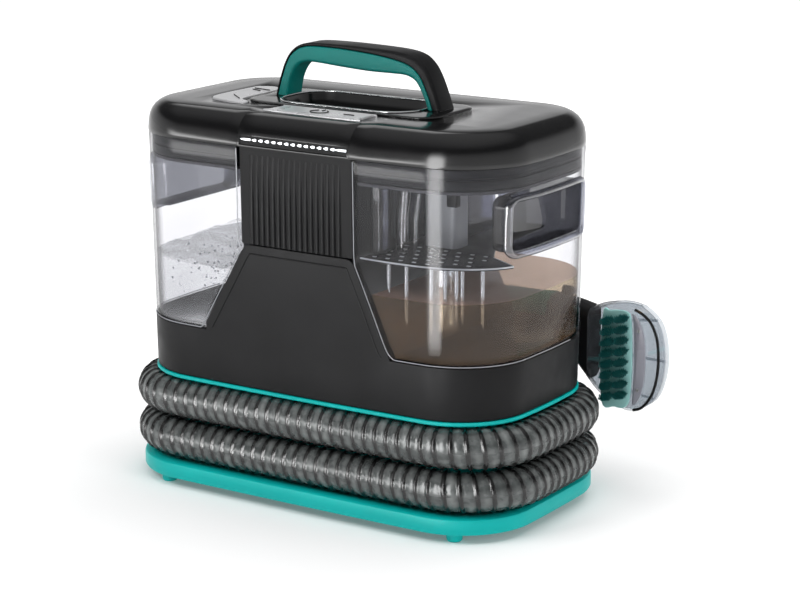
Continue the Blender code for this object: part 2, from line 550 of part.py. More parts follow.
prism("tool_dock", [(y + 1.6 if y < 103 else y, z) for y, z in dock], "x", 62.0, 84.0, "black", 0.6)

# ======================================================================= hose
a, b, r = HOSE_RING


def ring(x, y_sign, z, corner=None):
    return (x, y_sign * b, z)


def corner(cx, cy, start, end, z0, z1, n=5):
    out = []
    for i in range(n + 1):
        t = math.radians(start + (end - start) * i / n)
        out.append((cx + r * math.cos(t), cy + r * math.sin(t), z0 + (z1 - z0) * i / n))
    return out


up, low = HOSE_Z
route = [(-87.0, 119.0, 116.0), (-97.0, 119.0, 116.0), (-107.0, 119.0, 115.9), (-130.0, 117.6, 112.6), (-159.0, 108.5, 104.0), (-185.0, 86.0, 94.5),
         (-199.0, 58.0, 85.5), (-196.0, 30.0, 79.0), (-188.0, 4.0, 76.4), (-a, -b + r, up)]
route += corner(-a + r, -b + r, 180, 270, up, up)[1:]
route += [(-75.0, -b - 0.8, up), (-25.0, -b - 1.2, up), (25.0, -b - 1.2, up), (75.0, -b - 0.8, up)]
route += corner(a - r, -b + r, 270, 360, up, up)
route += [(a + 0.6, 0.0, up)]
route += corner(a - r, b - r, 0, 90, up, up)
route += [(95.0, b, up - 0.6), (65.0, b, up - 4.5), (35.0, b, up - 12.5), (0.0, b, (up + low) / 2 - 1), (-35.0, b, low + 11.0),
          (-65.0, b, low + 3.0), (-95.0, b, low)]
route += corner(-a + r, b - r, 90, 180, low, low)
route += [(-a - 0.6, 0.0, low)]
route += corner(-a + r, -b + r, 180, 270, low, low)
route += [(-75.0, -b - 0.8, low), (-25.0, -b - 1.2, low), (25.0, -b - 1.2, low), (75.0, -b - 0.8, low)]
route += corner(a - r, -b + r, 270, 360, low, low)
route += [(a + 0.6, 0.0, low)]
route += corner(a - r, b - r, 0, 60, low, low, 3)
route += [(128.0, 98.0, low), (104.0, 111.0, low), (78.0, 124.0, low + 0.3), (52.0, 132.5, low + 1.6), (28.0, 135.5, low + 6.0)]
for deg in (255, 225, 195, 170, 145, 120, 100):
    t = math.radians(deg)
    route.append((2.0 + 46.0 * math.cos(t), 135.0 - (255 - deg) / 155.0 * 6.0, 92.0 + 46.0 * math.sin(t)))
route += [(16.0, 128.2, 138.0), (34.0, 128.0, 138.0)]
hose_points = smooth(route, 30.0)
hose_like("vacuum_hose", hose_points, HOSE_R, "hose", 2)

# ================================================================== hand tool
axis = (1, 0, 0)
turned("hose_tool_cuff", [(HOSE_R + 0.5, 22.0), (19.8, 22.0), (20.4, 25.0), (20.4, 42.0), (18.6, 48.0), (0, 48.0), (0, 36.0), (HOSE_R + 0.5, 36.0)],
       (0, TOOL_Y, TOOL_Z), axis, 28, "black")
handle = turned("tool_handle", [(0, 48.4), (17.6, 48.4), (18.2, 52.0), (16.0, 60.0), (15.6, 80.0), (16.6, 100.0), (17.8, 112.0), (17.8, 118.0), (0, 118.0)],
                (0, TOOL_Y, TOOL_Z), axis, 28, "black")
for y in ((TOOL_Y - 11.6, TOOL_Y - 9.0), (TOOL_Y + 9.0, TOOL_Y + 11.6)):
    cut(handle, block("trigger_ear_%d" % round(y[0]), (104, 114), y, (113.5, 130.0), cutter=True), "UNION")
pin_hole = rod("pin_hole", (109, TOOL_Y - 20, 117.5), (109, TOOL_Y + 20, 117.5), 1.75, n=12, cutter=True)
cut(handle, pin_hole)
trigger = prism("trigger", [(112.4, 116.2), (111.6, 119.3), (109.0, 120.1), (105.0, 119.0), (96.0, 116.4), (90.6, 114.2), (90.0, 110.6), (93.5, 107.2), (98.0, 108.0),
                            (102.5, 111.2), (107.0, 113.8), (110.4, 114.0)],
                "y", TOOL_Y - 8.2, TOOL_Y + 8.2, "teal", 0.8, origin=(109, TOOL_Y, 117.5))
cut(trigger, pin_hole)
rod("trigger_pin", (109, TOOL_Y - 11.6, 117.5), (109, TOOL_Y + 11.6, 117.5), 1.6, n=12, key="steel")


def slab(x, y0, y1, z0, z1, r, n=4):
    """A rounded rectangle standing across the tool's length."""
    hy, hz, my, mz = (y1 - y0) / 2, (z1 - z0) / 2, (y0 + y1) / 2, (z0 + z1) / 2
    return [(x, my + q[0], mz + q[1]) for q in rounded(hy, hz, min(r, hy - 0.2, hz - 0.2), 0.0, n)]


loft("tool_neck", [slab(118.4, 113.0, 143.0, 121.5, 154.0, 14.5), slab(130.0, 113.0, 143.0, 112.0, 154.0, 14.0),
                   slab(142.0, 114.0, 142.0, 96.0, 152.0, 12.0), slab(153.0, 115.5, 141.0, 84.0, 149.0, 9.0)], "black")
FAN = [(153.6, 86.0), (160.0, 76.0), (170.0, 68.0), (184.0, 62.5), (200.0, 63.0), (212.0, 71.0), (221.5, 88.0), (225.5, 108.0),
       (225.0, 128.0), (219.0, 146.0), (207.0, 157.5), (192.0, 159.5), (174.0, 156.0), (160.0, 152.0), (153.6, 147.0)]
FAN_IN = [(150.0, 92.0), (164.0, 78.0), (176.0, 70.0), (192.0, 67.5), (206.0, 74.0), (240.0, 80.0), (240.0, 140.0), (204.0, 152.5), (192.0, 155.0),
          (174.0, 151.0), (150.0, 142.0)]
nozzle = prism("nozzle_hood", FAN, "y", 116.6, 141.0, "clear", 2.0)
cut(nozzle, prism("nozzle_hollow", FAN_IN, "y", 119.2, 138.4, cutter=True))
brush = prism("scrub_brush", [(168.0, 70.0), (184.0, 65.5), (199.0, 66.5), (203.0, 80.0), (204.0, 110.0), (202.0, 146.0), (196.0, 153.0), (176.0, 151.0),
                              (168.0, 146.0)], "y", 112.6, 116.2, "teal", 0.6)
tufts = bmesh.new()
for i in range(6):
    for j in range(3):
        x, z = 174.0 + j * 11.0, 76.0 + i * 12.8
        pipe(tufts, (x, 113.5, z), (x + 1.8, 103.8, z + 1.2), 3.4, 1.6, n=5)
cut(brush, put("brush_tufts", tufts, None, cutter=True), "UNION")
block("nozzle_latch", (128.0, 149.0), (106.8, 112.6), (128.0, 142.0), "teal", 1.4)
turned("spray_tip", [(0, 0.0), (4.4, 0.0), (4.4, 7.0), (2.2, 12.0), (0, 12.0)], (123.0, 128.0, 158.9), (1, 0, 0), 16, "teal")
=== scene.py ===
import math
import random

import bmesh
import bpy
from mathutils import Matrix, Vector


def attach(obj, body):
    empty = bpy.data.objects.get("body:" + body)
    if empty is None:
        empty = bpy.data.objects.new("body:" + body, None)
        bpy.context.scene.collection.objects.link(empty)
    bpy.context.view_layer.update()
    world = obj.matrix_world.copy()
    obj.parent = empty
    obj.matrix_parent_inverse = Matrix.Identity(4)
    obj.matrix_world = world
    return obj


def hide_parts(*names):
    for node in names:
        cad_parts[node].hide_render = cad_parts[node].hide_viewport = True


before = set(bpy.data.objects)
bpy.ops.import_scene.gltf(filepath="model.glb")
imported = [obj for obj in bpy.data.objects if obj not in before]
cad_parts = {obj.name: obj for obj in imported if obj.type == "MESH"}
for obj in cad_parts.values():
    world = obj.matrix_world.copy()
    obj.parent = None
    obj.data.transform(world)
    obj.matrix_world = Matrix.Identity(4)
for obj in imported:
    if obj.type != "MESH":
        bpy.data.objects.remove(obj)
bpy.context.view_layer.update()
SX, SY = -4.83, -21.62          # from the drawing's own axes to the row frame, in mm
MM = 0.001
rng = random.Random(7)
scene = bpy.context.scene


def w(x, y, z):
    return Vector(((x + SX) * MM, (y + SY) * MM, z * MM))


# ============================================================ camera and light
def make_camera():
    cam = bpy.data.cameras.new("camera")
    cam.sensor_width = 36.0
    cam.lens = 105.92
    cam.clip_end = 50.0
    obj = bpy.data.objects.new("camera", cam)
    obj.location = w(1083.69, -1614.21, 644.65)
    obj.rotation_euler = Vector((-0.52815, 0.81391, -0.24209)).to_track_quat("-Z", "Y").to_euler()
    scene.collection.objects.link(obj)
    scene.camera = obj


make_camera()
scene.view_settings.view_transform = "Standard"
scene.cycles.transparent_max_bounces = 32
scene.cycles.max_bounces = 10

# ================================================================== the outline
BODY_LOW = (180.0, 96.85, 62.3, 97.8)
BODY_HIGH = (183.6, 100.4, 65.9, 302.3)
BOW = 1.65
BASE = (190.1, 107.9, 65.8)
HUMP_L = [(-94.0, 141.9), (-94.0, 149.0), (-85.5, 163.0), (-60.5, 205.0), (-56.5, 212.0), (-50.5, 219.5), (-44.0, 221.0)]
HUMP_R = [(48.0, 221.0), (55.0, 218.8), (60.0, 209.5), (71.0, 184.5), (84.0, 154.0), (88.5, 146.0), (90.0, 141.9)]


def rounded(a, b, r, z=0.0, n=14, bow=0.0, cx=0.0, cy=0.0, side=9):
    """A rounded rectangle, anticlockwise, sides bowed out."""
    out = []
    cornered = ((1, -1), (1, 1), (-1, 1), (-1, -1))
    nexts = ((1, 1), (-1, 1), (-1, -1), (1, -1))
    for k in range(4):
        sx, sy = cornered[k]
        mx, my = sx * (a - r), sy * (b - r)
        start = (-90.0, 0.0, 90.0, 180.0)[k]
        for i in range(n + 1):
            t = math.radians(start + 90.0 * i / n)
            out.append([mx + r * math.cos(t), my + r * math.sin(t)])
        last = out[-1]
        nx, ny = nexts[k]
        t = math.radians(start + 90.0)
        nxt = [nx * (a - r) + r * math.cos(t), ny * (b - r) + r * math.sin(t)]
        for j in range(1, side):
            f = j / side
            out.append([last[0] + (nxt[0] - last[0]) * f, last[1] + (nxt[1] - last[1]) * f])
    if bow:
        for p in out:
            ax, ay = abs(p[0]) / (a - r), abs(p[1]) / max(b - r, 1.0)
            if ax < 1.0:
                p[1] += math.copysign(bow * (1 - ax * ax), p[1])
            if ay < 1.0:
                p[0] += math.copysign(bow * 0.6 * (1 - ay * ay), p[0])
    return [(x + cx, y + cy, z) for x, y in out]


def size_at(z):
    f = (z - BODY_LOW[3]) / (BODY_HIGH[3] - BODY_LOW[3])
    return [BODY_LOW[i] + (BODY_HIGH[i] - BODY_LOW[i]) * f for i in range(3)]


def body(z, inset=0.0, n=14):
    a, b, r = size_at(z)
    return rounded(a - inset, b - inset, max(r - inset, 3.0), z, n, BOW)


def front_y(x, z, inset=0.0):
    """How far forward the body's front surface is at x, z."""
    a, b, r = size_at(z)
    a, b, r = a - inset, b - inset, r - inset
    ax = abs(x)
    if ax <= a - r:
        return -(b + BOW * (1 - (ax / (a - r)) ** 2))
    d = min(ax - (a - r), r)
    return -(b - r + math.sqrt(max(r * r - d * d, 0.0)))


# ==================================================================== mesh tools
def finish_mesh(bm, name, angle=35.0):
    bmesh.ops.recalc_face_normals(bm, faces=bm.faces[:])
    if bm.calc_volume(signed=True) < 0:
        bmesh.ops.reverse_faces(bm, faces=bm.faces[:])
    me = bpy.data.meshes.new(name)
    bm.to_mesh(me)
    bm.free()
    obj = bpy.data.objects.new(name, me)
    scene.collection.objects.link(obj)
    soften(obj, angle)
    return obj


def soften(obj, angle=35.0):
    me = obj.data
    me.polygons.foreach_set("use_smooth", [True] * len(me.polygons))
    me.set_sharp_from_angle(angle=math.radians(angle))


def skin(name, rings, closed=False, caps=True, wrap=True, angle=35.0):
    bm = bmesh.new()
    rows = [[bm.verts.new(w(*p)) for p in ring] for ring in rings]
    n = len(rows[0])
    pairs = list(zip(rows, rows[1:])) + ([(rows[-1], rows[0])] if closed else [])
    for lo, hi in pairs:
        for i in range(n if wrap else n - 1):
            j = (i + 1) % n
            bm.faces.new((lo[i], lo[j], hi[j], hi[i]))
    if caps and not closed:
        bm.faces.new(rows[0][::-1])
        bm.faces.new(rows[-1])
    return finish_mesh(bm, name, angle)


def slab(name, outline, axis, low, high, angle=35.0):
    place = {"x": lambda u, v, t: (t, u, v), "y": lambda u, v, t: (u, t, v), "z": lambda u, v, t: (u, v, t)}[axis]
    return skin(name, [[place(u, v, low) for u, v in outline], [place(u, v, high) for u, v in outline]], angle=angle)


def lump(name, x, y, z, bevel=0.0, seg=3):
    bm = bmesh.new()
    c = w((x[0] + x[1]) / 2, (y[0] + y[1]) / 2, (z[0] + z[1]) / 2)
    s = Matrix.Diagonal(((x[1] - x[0]) * MM, (y[1] - y[0]) * MM, (z[1] - z[0]) * MM, 1.0))
    bmesh.ops.create_cube(bm, size=1.0, matrix=Matrix.Translation(c) @ s)
    if bevel:
        bmesh.ops.bevel(bm, geom=bm.edges[:], offset=bevel * MM, segments=seg, affect="EDGES", profile=0.5)
    return finish_mesh(bm, name)


def revolve(name, profile, base, direction, n=40, angle=35.0):
    turn = Vector(direction).to_track_quat("Z", "Y").to_matrix()
    bm = bmesh.new()
    rows = []
    for r, h in profile:
        row = []
        for i in range(n):
            t = 2 * math.pi * i / n
            p = turn @ Vector((r * math.cos(t), r * math.sin(t), h)) + Vector(base)
            row.append(bm.verts.new(w(*p)))
        rows.append(row)
    for lo, hi in zip(rows, rows[1:]):
        for i in range(n):
            j = (i + 1) % n
            bm.faces.new((lo[i], lo[j], hi[j], hi[i]))
    bm.faces.new(rows[0][::-1])
    bm.faces.new(rows[-1])
    bmesh.ops.remove_doubles(bm, verts=bm.verts[:], dist=1e-7)
    return finish_mesh(bm, name, angle)


def add(obj, kind, **kw):
    mod = obj.modifiers.new(kind.lower(), kind)
    for key, value in kw.items():
        setattr(mod, key, value)
    return mod


def bake(obj, angle=35.0):
    """Applies an object's modifiers."""
    graph = bpy.context.evaluated_depsgraph_get()
    graph.update()
    me = bpy.data.meshes.new_from_object(obj.evaluated_get(graph))
    obj.modifiers.clear()
    obj.data = me
    soften(obj, angle)
    return obj


def carve(obj, tools, operation="DIFFERENCE", angle=35.0):
    for tool in tools:
        add(obj, "BOOLEAN", operation=operation, solver="EXACT", object=tool)
    bake(obj, angle)
    for tool in tools:
        bpy.data.objects.remove(tool, do_unlink=True)
    return obj


def ease(obj, width, seg=2, limit=40.0, angle=35.0):
    """Rounds an object's sharp edges."""
    add(obj, "BEVEL", width=width * MM, segments=seg, limit_method="ANGLE", angle_limit=math.radians(limit),
        harden_normals=False, use_clamp_overlap=True)
    return bake(obj, angle)


def join(objs, name):
    bm = bmesh.new()
    for o in objs:
        bm.from_mesh(o.data)
    me = bpy.data.meshes.new(name)
    bm.to_mesh(me)
    bm.free()
    for o in objs:
        bpy.data.objects.remove(o, do_unlink=True)
    obj = bpy.data.objects.new(name, me)
    scene.collection.objects.link(obj)
    soften(obj)
    return obj


def catmull(points, per=12, closed=False):
    pts = [Vector(p) for p in points]
    n = len(pts)
    out = []
    for i in range(n if closed else n - 1):
        if closed:
            p0, p1, p2, p3 = pts[i - 1], pts[i], pts[(i + 1) % n], pts[(i + 2) % n]
        else:
            p0, p1, p2, p3 = pts[max(i - 1, 0)], pts[i], pts[i + 1], pts[min(i + 2, n - 1)]
        for k in range(per):
            t = k / per
            out.append(0.5 * ((2 * p1) + (p2 - p0) * t + (2 * p0 - 5 * p1 + 4 * p2 - p3) * t * t + (3 * p1 - p0 - 3 * p2 + p3) * t ** 3))
    if not closed:
        out.append(pts[-1])
    return out


def even(points, step):
    """The same line with points at even steps."""
    length = sum((b - a).length for a, b in zip(points, points[1:]))
    count = max(2, round(length / step))
    goal, run, out = length / count, 0.0, [points[0]]
    for a, b in zip(points, points[1:]):
        seg = (b - a).length
        while seg > 1e-9 and run + seg >= goal - 1e-9 and len(out) < count:
            a = a.lerp(b, (goal - run) / seg)
            out.append(a)
            seg, run = (b - a).length, 0.0
        run += seg
    out.append(points[-1])
    return out, length


def sweep(name, path, radius, n=20, angle=40.0, cap=True):
    """A round tube along points in mm; radius is a number or a function of (share along, angle)."""
    pts = [Vector(p) for p in path]
    up = Vector((0, 0, 1))
    rows = []
    side = None
    for i, p in enumerate(pts):
        d = (pts[min(i + 1, len(pts) - 1)] - pts[max(i - 1, 0)]).normalized()
        if side is None:
            side = d.cross(up) if abs(d.dot(up)) < 0.9 else d.cross(Vector((1, 0, 0)))
        side = (side - d * side.dot(d)).normalized()
        other = side.cross(d)
        row = []
        for k in range(n):
            t = 2 * math.pi * k / n
            r = radius(i / (len(pts) - 1), t) if callable(radius) else radius
            row.append(p + (side * math.cos(t) + other * math.sin(t)) * r)
        rows.append([tuple(q) for q in row])
    return skin(name, rows, caps=cap, angle=angle)


# ===================================================================== materials
class Paint:
    """A node-based material: a Principled shader with its own pattern of colour, roughness and relief."""

    def __init__(self, name):
        self.mat = bpy.data.materials.new(name)
        self.mat.use_nodes = True
        self.nt = self.mat.node_tree
        self.bsdf = self.nt.nodes["Principled BSDF"]
        self.out = self.nt.nodes["Material Output"]
        self.coord = self.nt.nodes.new("ShaderNodeTexCoord")

    def node(self, kind, **kw):
        n = self.nt.nodes.new(kind)
        for k, v in kw.items():
            setattr(n, k, v)
        return n

    def link(self, a, b):
        self.nt.links.new(a, b)

    def noise(self, scale, detail=2.0, rough=0.5, stretch=None, source="Object"):
        n = self.node("ShaderNodeTexNoise")
        n.inputs["Scale"].default_value = scale
        n.inputs["Detail"].default_value = detail
        n.inputs["Roughness"].default_value = rough
        vec = self.coord.outputs[source]
        if stretch:
            m = self.node("ShaderNodeMapping")
            m.inputs["Scale"].default_value = stretch
            self.link(vec, m.inputs["Vector"])
            vec = m.outputs["Vector"]
        self.link(vec, n.inputs["Vector"])
        return n.outputs["Fac"]

    def ramp(self, fac, stops):
        r = self.node("ShaderNodeValToRGB")
        els = r.color_ramp.elements
        while len(els) < len(stops):
            els.new(0.5)
        for e, (pos, col) in zip(els, stops):
            e.position = pos
            e.color = (*col, 1.0) if len(col) == 3 else col
        self.link(fac, r.inputs["Fac"])
        return r.outputs["Color"]

    def spread(self, fac, low, high, a=0.3, b=0.7):
        m = self.node("ShaderNodeMapRange")
        m.inputs["From Min"].default_value = a
        m.inputs["From Max"].default_value = b
        m.inputs["To Min"].default_value = low
        m.inputs["To Max"].default_value = high
        self.link(fac, m.inputs["Value"])
        return m.outputs["Result"]

    def relief(self, fac, strength, distance):
        b = self.node("ShaderNodeBump")
        b.inputs["Strength"].default_value = strength
        b.inputs["Distance"].default_value = distance
        self.link(fac, b.inputs["Height"])
        self.link(b.outputs["Normal"], self.bsdf.inputs["Normal"])
        return b


def moulded(name, colour, rough, grain=1400.0, relief=0.12, vary=0.18, metal=0.0, spec=0.5, coat=0.0, rough_vary=0.06):
    """Moulded plastic: faint colour drift, uneven gloss and a fine spark-eroded grain."""
    p = Paint(name)
    drift = p.noise(22.0, 3.0)
    lo = tuple(c * (1 - vary) for c in colour)
    hi = tuple(min(1.0, c * (1 + vary)) for c in colour)
    p.link(p.ramp(drift, [(0.3, lo), (0.7, hi)]), p.bsdf.inputs["Base Color"])
    p.link(p.spread(p.noise(60.0, 4.0), max(0.02, rough - rough_vary), rough + rough_vary), p.bsdf.inputs["Roughness"])
    p.bsdf.inputs["Metallic"].default_value = metal
    p.bsdf.inputs["Specular IOR Level"].default_value = spec
    p.bsdf.inputs["Coat Weight"].default_value = coat
    if relief:
        p.relief(p.noise(grain, 2.0), relief, 0.00006)
    return p.mat


def see_through(name, tint, gloss=0.05, haze=0.0, haze_colour=(0.5, 0.5, 0.5), shine=0.035, drift=0.02, edge=0.62):
    """Clear moulded plastic as a thin wall: lets light through with a tint, darker towards its edges, and mirrors at a glance."""
    p = Paint(name)
    nt = p.nt
    nt.nodes.remove(p.bsdf)
    clear = p.node("ShaderNodeBsdfTransparent")
    mirror = p.node("ShaderNodeBsdfGlossy")
    mirror.inputs["Roughness"].default_value = gloss
    mirror.inputs["Color"].default_value = (1.0, 1.0, 1.0, 1.0)
    facing = p.node("ShaderNodeLayerWeight")
    facing.inputs["Blend"].default_value = 0.5
    inner = tuple(min(1.0, c * 1.0) for c in tint)
    outer = tuple(c * edge for c in tint)
    shade = p.ramp(facing.outputs["Facing"], [(0.0, inner), (0.55, inner), (0.97, outer)])
    wash = p.ramp(p.noise(18.0, 2.0), [(0.3, (1 - drift,) * 3), (0.7, (1.0,) * 3)])
    mul = p.node("ShaderNodeMix", data_type="RGBA", blend_type="MULTIPLY")
    mul.inputs[0].default_value = 1.0
    p.link(shade, mul.inputs[6])
    p.link(wash, mul.inputs[7])
    p.link(mul.outputs[2], clear.inputs["Color"])
    mix = p.node("ShaderNodeMixShader")
    p.link(p.ramp(facing.outputs["Facing"], [(0.0, (shine,) * 3), (0.5, (shine * 1.5,) * 3), (0.72, (shine * 3.6,) * 3), (0.86, (0.20,) * 3),
                                             (1.0, (0.92,) * 3)]), mix.inputs["Fac"])
    base = clear.outputs[0]
    if haze:
        cloud = p.node("ShaderNodeBsdfDiffuse")
        cloud.inputs["Color"].default_value = (*haze_colour, 1.0)
        hz = p.node("ShaderNodeMixShader")
        hz.inputs["Fac"].default_value = haze
        p.link(base, hz.inputs[1])
        p.link(cloud.outputs[0], hz.inputs[2])
        base = hz.outputs[0]
    p.link(base, mix.inputs[1])
    p.link(mirror.outputs[0], mix.inputs[2])
    p.link(mix.outputs[0], p.out.inputs["Surface"])
    return p.mat


M = {}
M["black"] = moulded("black_plastic", (0.0080, 0.0080, 0.0085), 0.44, spec=0.13)
M["tower"] = moulded("tower_plastic", (0.006, 0.0065, 0.0095), 0.34, spec=0.15, relief=0.0)
M["gloss"] = moulded("gloss_black", (0.0040, 0.0040, 0.0043), 0.15, relief=0.0, spec=0.5, rough_vary=0.02)
M["teal"] = moulded("teal_plastic", (0.0, 0.46, 0.435), 0.38, vary=0.05, relief=0.05, spec=0.18)
M["teal_dark"] = moulded("teal_brush", (0.0, 0.13, 0.125), 0.42, vary=0.15, relief=0.1, spec=0.3)
M["grip"] = moulded("soft_grip", (0.0, 0.175, 0.155), 0.50, grain=2200.0, relief=0.2, vary=0.06, spec=0.2)
M["steel"] = moulded("steel", (0.52, 0.52, 0.53), 0.32, metal=1.0, relief=0.08)
M["silver"] = moulded("silver_plate", (0.50, 0.50, 0.51), 0.30, metal=0.45, relief=0.0, vary=0.04)
M["chrome"] = moulded("bright_trim", (0.78, 0.79, 0.80), 0.12, metal=1.0, relief=0.0, vary=0.04)
M["rubber"] = moulded("rubber", (0.018, 0.018, 0.018), 0.75, relief=0.3, grain=900.0, spec=0.2)
M["seal"] = moulded("seal_rubber", (0.05, 0.05, 0.06), 0.55, relief=0.2, grain=900.0, spec=0.2)
M["white"] = moulded("white_plastic", (0.50, 0.52, 0.55), 0.35, vary=0.05, spec=0.3)
M["board"] = moulded("solder_mask", (0.01, 0.16, 0.06), 0.35, vary=0.3, relief=0.3, grain=500.0)
M["smoke"] = see_through("smoked_wall", (0.900, 0.900, 0.910), gloss=0.03, haze=0.003, haze_colour=(0.3, 0.3, 0.36), shine=0.014, edge=0.42)
M["rim"] = see_through("thick_clear", (0.60, 0.61, 0.66), gloss=0.03, shine=0.10, edge=0.04)
# painted shade: the grip pocket's faces get a dark tint that stands for the shade and refraction in the hollow; the
# pale copy is a lighter painted shade for the clean tank's pocket
M["pocket"] = see_through("grip_pocket_painted_shade", (0.22, 0.222, 0.24), gloss=0.04, shine=0.035, edge=0.01)
M["pocket_pale_painted_shade"] = see_through("grip_pocket_pale_painted_shade", (0.44, 0.445, 0.475), gloss=0.04, shine=0.03, edge=0.02)
M["rods"] = see_through("frosted_rods", (0.80, 0.82, 0.85), gloss=0.05, haze=0.26, haze_colour=(0.72, 0.74, 0.78), shine=0.12, edge=0.42)
# painted highlight: a pale grey for thin lines along the tanks' lower outline, standing for the edge highlight
M["edge"] = moulded("painted_edge_highlight", (0.30, 0.31, 0.335), 0.25, vary=0.12, relief=0.0)
M["clear"] = see_through("clear_plastic", (0.93, 0.94, 0.95), gloss=0.04, shine=0.07, edge=0.35)
M["duct"] = see_through("dark_duct", (0.50, 0.51, 0.57), gloss=0.05, edge=0.35)
M["hood"] = see_through("nozzle_clear", (0.78, 0.80, 0.82), gloss=0.04, haze=0.03, haze_colour=(0.45, 0.47, 0.5), shine=0.05, edge=0.12)
M["water"] = see_through("clean_water", (0.94, 0.945, 0.95), gloss=0.02, haze=0.07, haze_colour=(0.75, 0.77, 0.8), shine=0.02, edge=0.75)


def dirty_water():
    p = Paint("dirty_water")
    p.nt.nodes.remove(p.bsdf)
    clear = p.node("ShaderNodeBsdfTransparent")
    cloud = p.node("ShaderNodeBsdfDiffuse")
    n = p.noise(26.0, 4.0, 0.6)
    p.link(p.ramp(n, [(0.3, (0.80, 0.70, 0.56)), (0.7, (0.90, 0.82, 0.70))]), clear.inputs["Color"])
    p.link(p.ramp(n, [(0.3, (0.15, 0.085, 0.035)), (0.52, (0.27, 0.185, 0.115)), (0.75, (0.38, 0.20, 0.085))]), cloud.inputs["Color"])
    mix = p.node("ShaderNodeMixShader")
    mix.inputs["Fac"].default_value = 0.23
    p.link(clear.outputs[0], mix.inputs[1])
    p.link(cloud.outputs[0], mix.inputs[2])
    p.link(mix.outputs[0], p.out.inputs["Surface"])
    return p.mat


def water_top():
    p = Paint("dirty_surface")
    p.nt.nodes.remove(p.bsdf)
    clear = p.node("ShaderNodeBsdfTransparent")
    clear.inputs["Color"].default_value = (0.88, 0.70, 0.60, 1.0)
    cloud = p.node("ShaderNodeBsdfDiffuse")
    p.link(p.ramp(p.noise(30.0, 3.0), [(0.3, (0.72, 0.47, 0.36)), (0.7, (0.88, 0.62, 0.50))]), cloud.inputs["Color"])
    mirror = p.node("ShaderNodeBsdfGlossy")
    mirror.inputs["Roughness"].default_value = 0.08
    one = p.node("ShaderNodeMixShader")
    one.inputs["Fac"].default_value = 0.45
    p.link(clear.outputs[0], one.inputs[1])
    p.link(cloud.outputs[0], one.inputs[2])
    facing = p.node("ShaderNodeLayerWeight")
    facing.inputs["Blend"].default_value = 0.5
    two = p.node("ShaderNodeMixShader")
    p.link(p.ramp(facing.outputs["Facing"], [(0.0, (0.02,) * 3), (0.7, (0.06,) * 3), (1.0, (0.7,) * 3)]), two.inputs["Fac"])
    p.link(one.outputs[0], two.inputs[1])
    p.link(mirror.outputs[0], two.inputs[2])
    p.link(two.outputs[0], p.out.inputs["Surface"])
    return p.mat


def hose_plastic():
    """Smoked hose: a glossy black spiral between see-through smoky bands with grey streaks round them, each band's
    colour painted darker towards the spiral as shade.
    """
    p = Paint("hose_plastic")
    sep = p.node("ShaderNodeSeparateXYZ")
    p.link(p.coord.outputs["UV"], sep.inputs[0])
    fract = p.node("ShaderNodeMath", operation="FRACT")
    p.link(sep.outputs["X"], fract.inputs[0])
    streak = p.noise(1.0, 2.0, 0.5, stretch=(0.9, 9.0, 1.0), source="UV")
    band = p.ramp(streak, [(0.30, (0.075, 0.083, 0.082)), (0.5, (0.125, 0.137, 0.135)), (0.70, (0.23, 0.245, 0.24))])
    # black spiral and smoky band; the band colour also falls to half towards the spiral as painted shade
    rib_mask_and_painted_shade = p.ramp(fract.outputs[0], [(0.0, (0.0,) * 3), (0.13, (0.0,) * 3), (0.16, (0.50,) * 3), (0.50, (1.0,) * 3), (0.84, (0.50,) * 3),
                                     (0.87, (0.0,) * 3), (1.0, (0.0,) * 3)])
    mix = p.node("ShaderNodeMix", data_type="RGBA")
    p.link(rib_mask_and_painted_shade, mix.inputs[0])
    mix.inputs[6].default_value = (0.002, 0.002, 0.002, 1.0)
    p.link(band, mix.inputs[7])
    p.link(mix.outputs[2], p.bsdf.inputs["Base Color"])
    p.link(p.spread(streak, 0.22, 0.34), p.bsdf.inputs["Roughness"])
    p.bsdf.inputs["Specular IOR Level"].default_value = 0.55
    p.bsdf.inputs["Coat Weight"].default_value = 0.25
    p.bsdf.inputs["Coat Roughness"].default_value = 0.12
    p.relief(streak, 0.12, 0.0003)
    clear = p.node("ShaderNodeBsdfTransparent")
    clear.inputs["Color"].default_value = (0.62, 0.66, 0.66, 1.0)
    let = p.node("ShaderNodeMath", operation="MULTIPLY")
    p.link(rib_mask_and_painted_shade, let.inputs[0])
    let.inputs[1].default_value = 0.18
    both = p.node("ShaderNodeMixShader")
    p.link(let.outputs[0], both.inputs["Fac"])
    p.link(p.bsdf.outputs[0], both.inputs[1])
    p.link(clear.outputs[0], both.inputs[2])
    p.link(both.outputs[0], p.out.inputs["Surface"])
    return p.mat


def glowing():
    p = Paint("light_guide")
    p.link(p.ramp(p.noise(300.0, 1.0), [(0.3, (0.85, 0.92, 1.0)), (0.7, (1.0, 1.0, 1.0))]), p.bsdf.inputs["Base Color"])
    p.bsdf.inputs["Emission Color"].default_value = (0.93, 0.97, 1.0, 1.0)
    p.bsdf.inputs["Emission Strength"].default_value = 1.6
    p.bsdf.inputs["Roughness"].default_value = 0.3
    return p.mat


M["dirty"] = dirty_water()
M["dirty_top"] = water_top()
M["hose"] = hose_plastic()
M["glow"] = glowing()


def give(obj, key, on="chassis", instead=(), more=()):
    """Finishes a piece: its material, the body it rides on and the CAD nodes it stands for."""
    obj.data.materials.clear()
    obj.data.materials.append(M[key])
    for extra in more:
        obj.data.materials.append(M[extra])
    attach(obj, on)
    if instead:
        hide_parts(*instead)
    return obj


# ========================================================================== hose
HOSE_R = 17.6
RA, RB, RR = 182.0, 91.0, 56.0
UP, LOW = 75.8, 39.4


def bend(cx, cy, start, end, z, n=5):
    return [(cx + RR * math.cos(math.radians(start + (end - start) * i / n)), cy + RR * math.sin(math.radians(start + (end - start) * i / n)), z)
            for i in range(n + 1)]


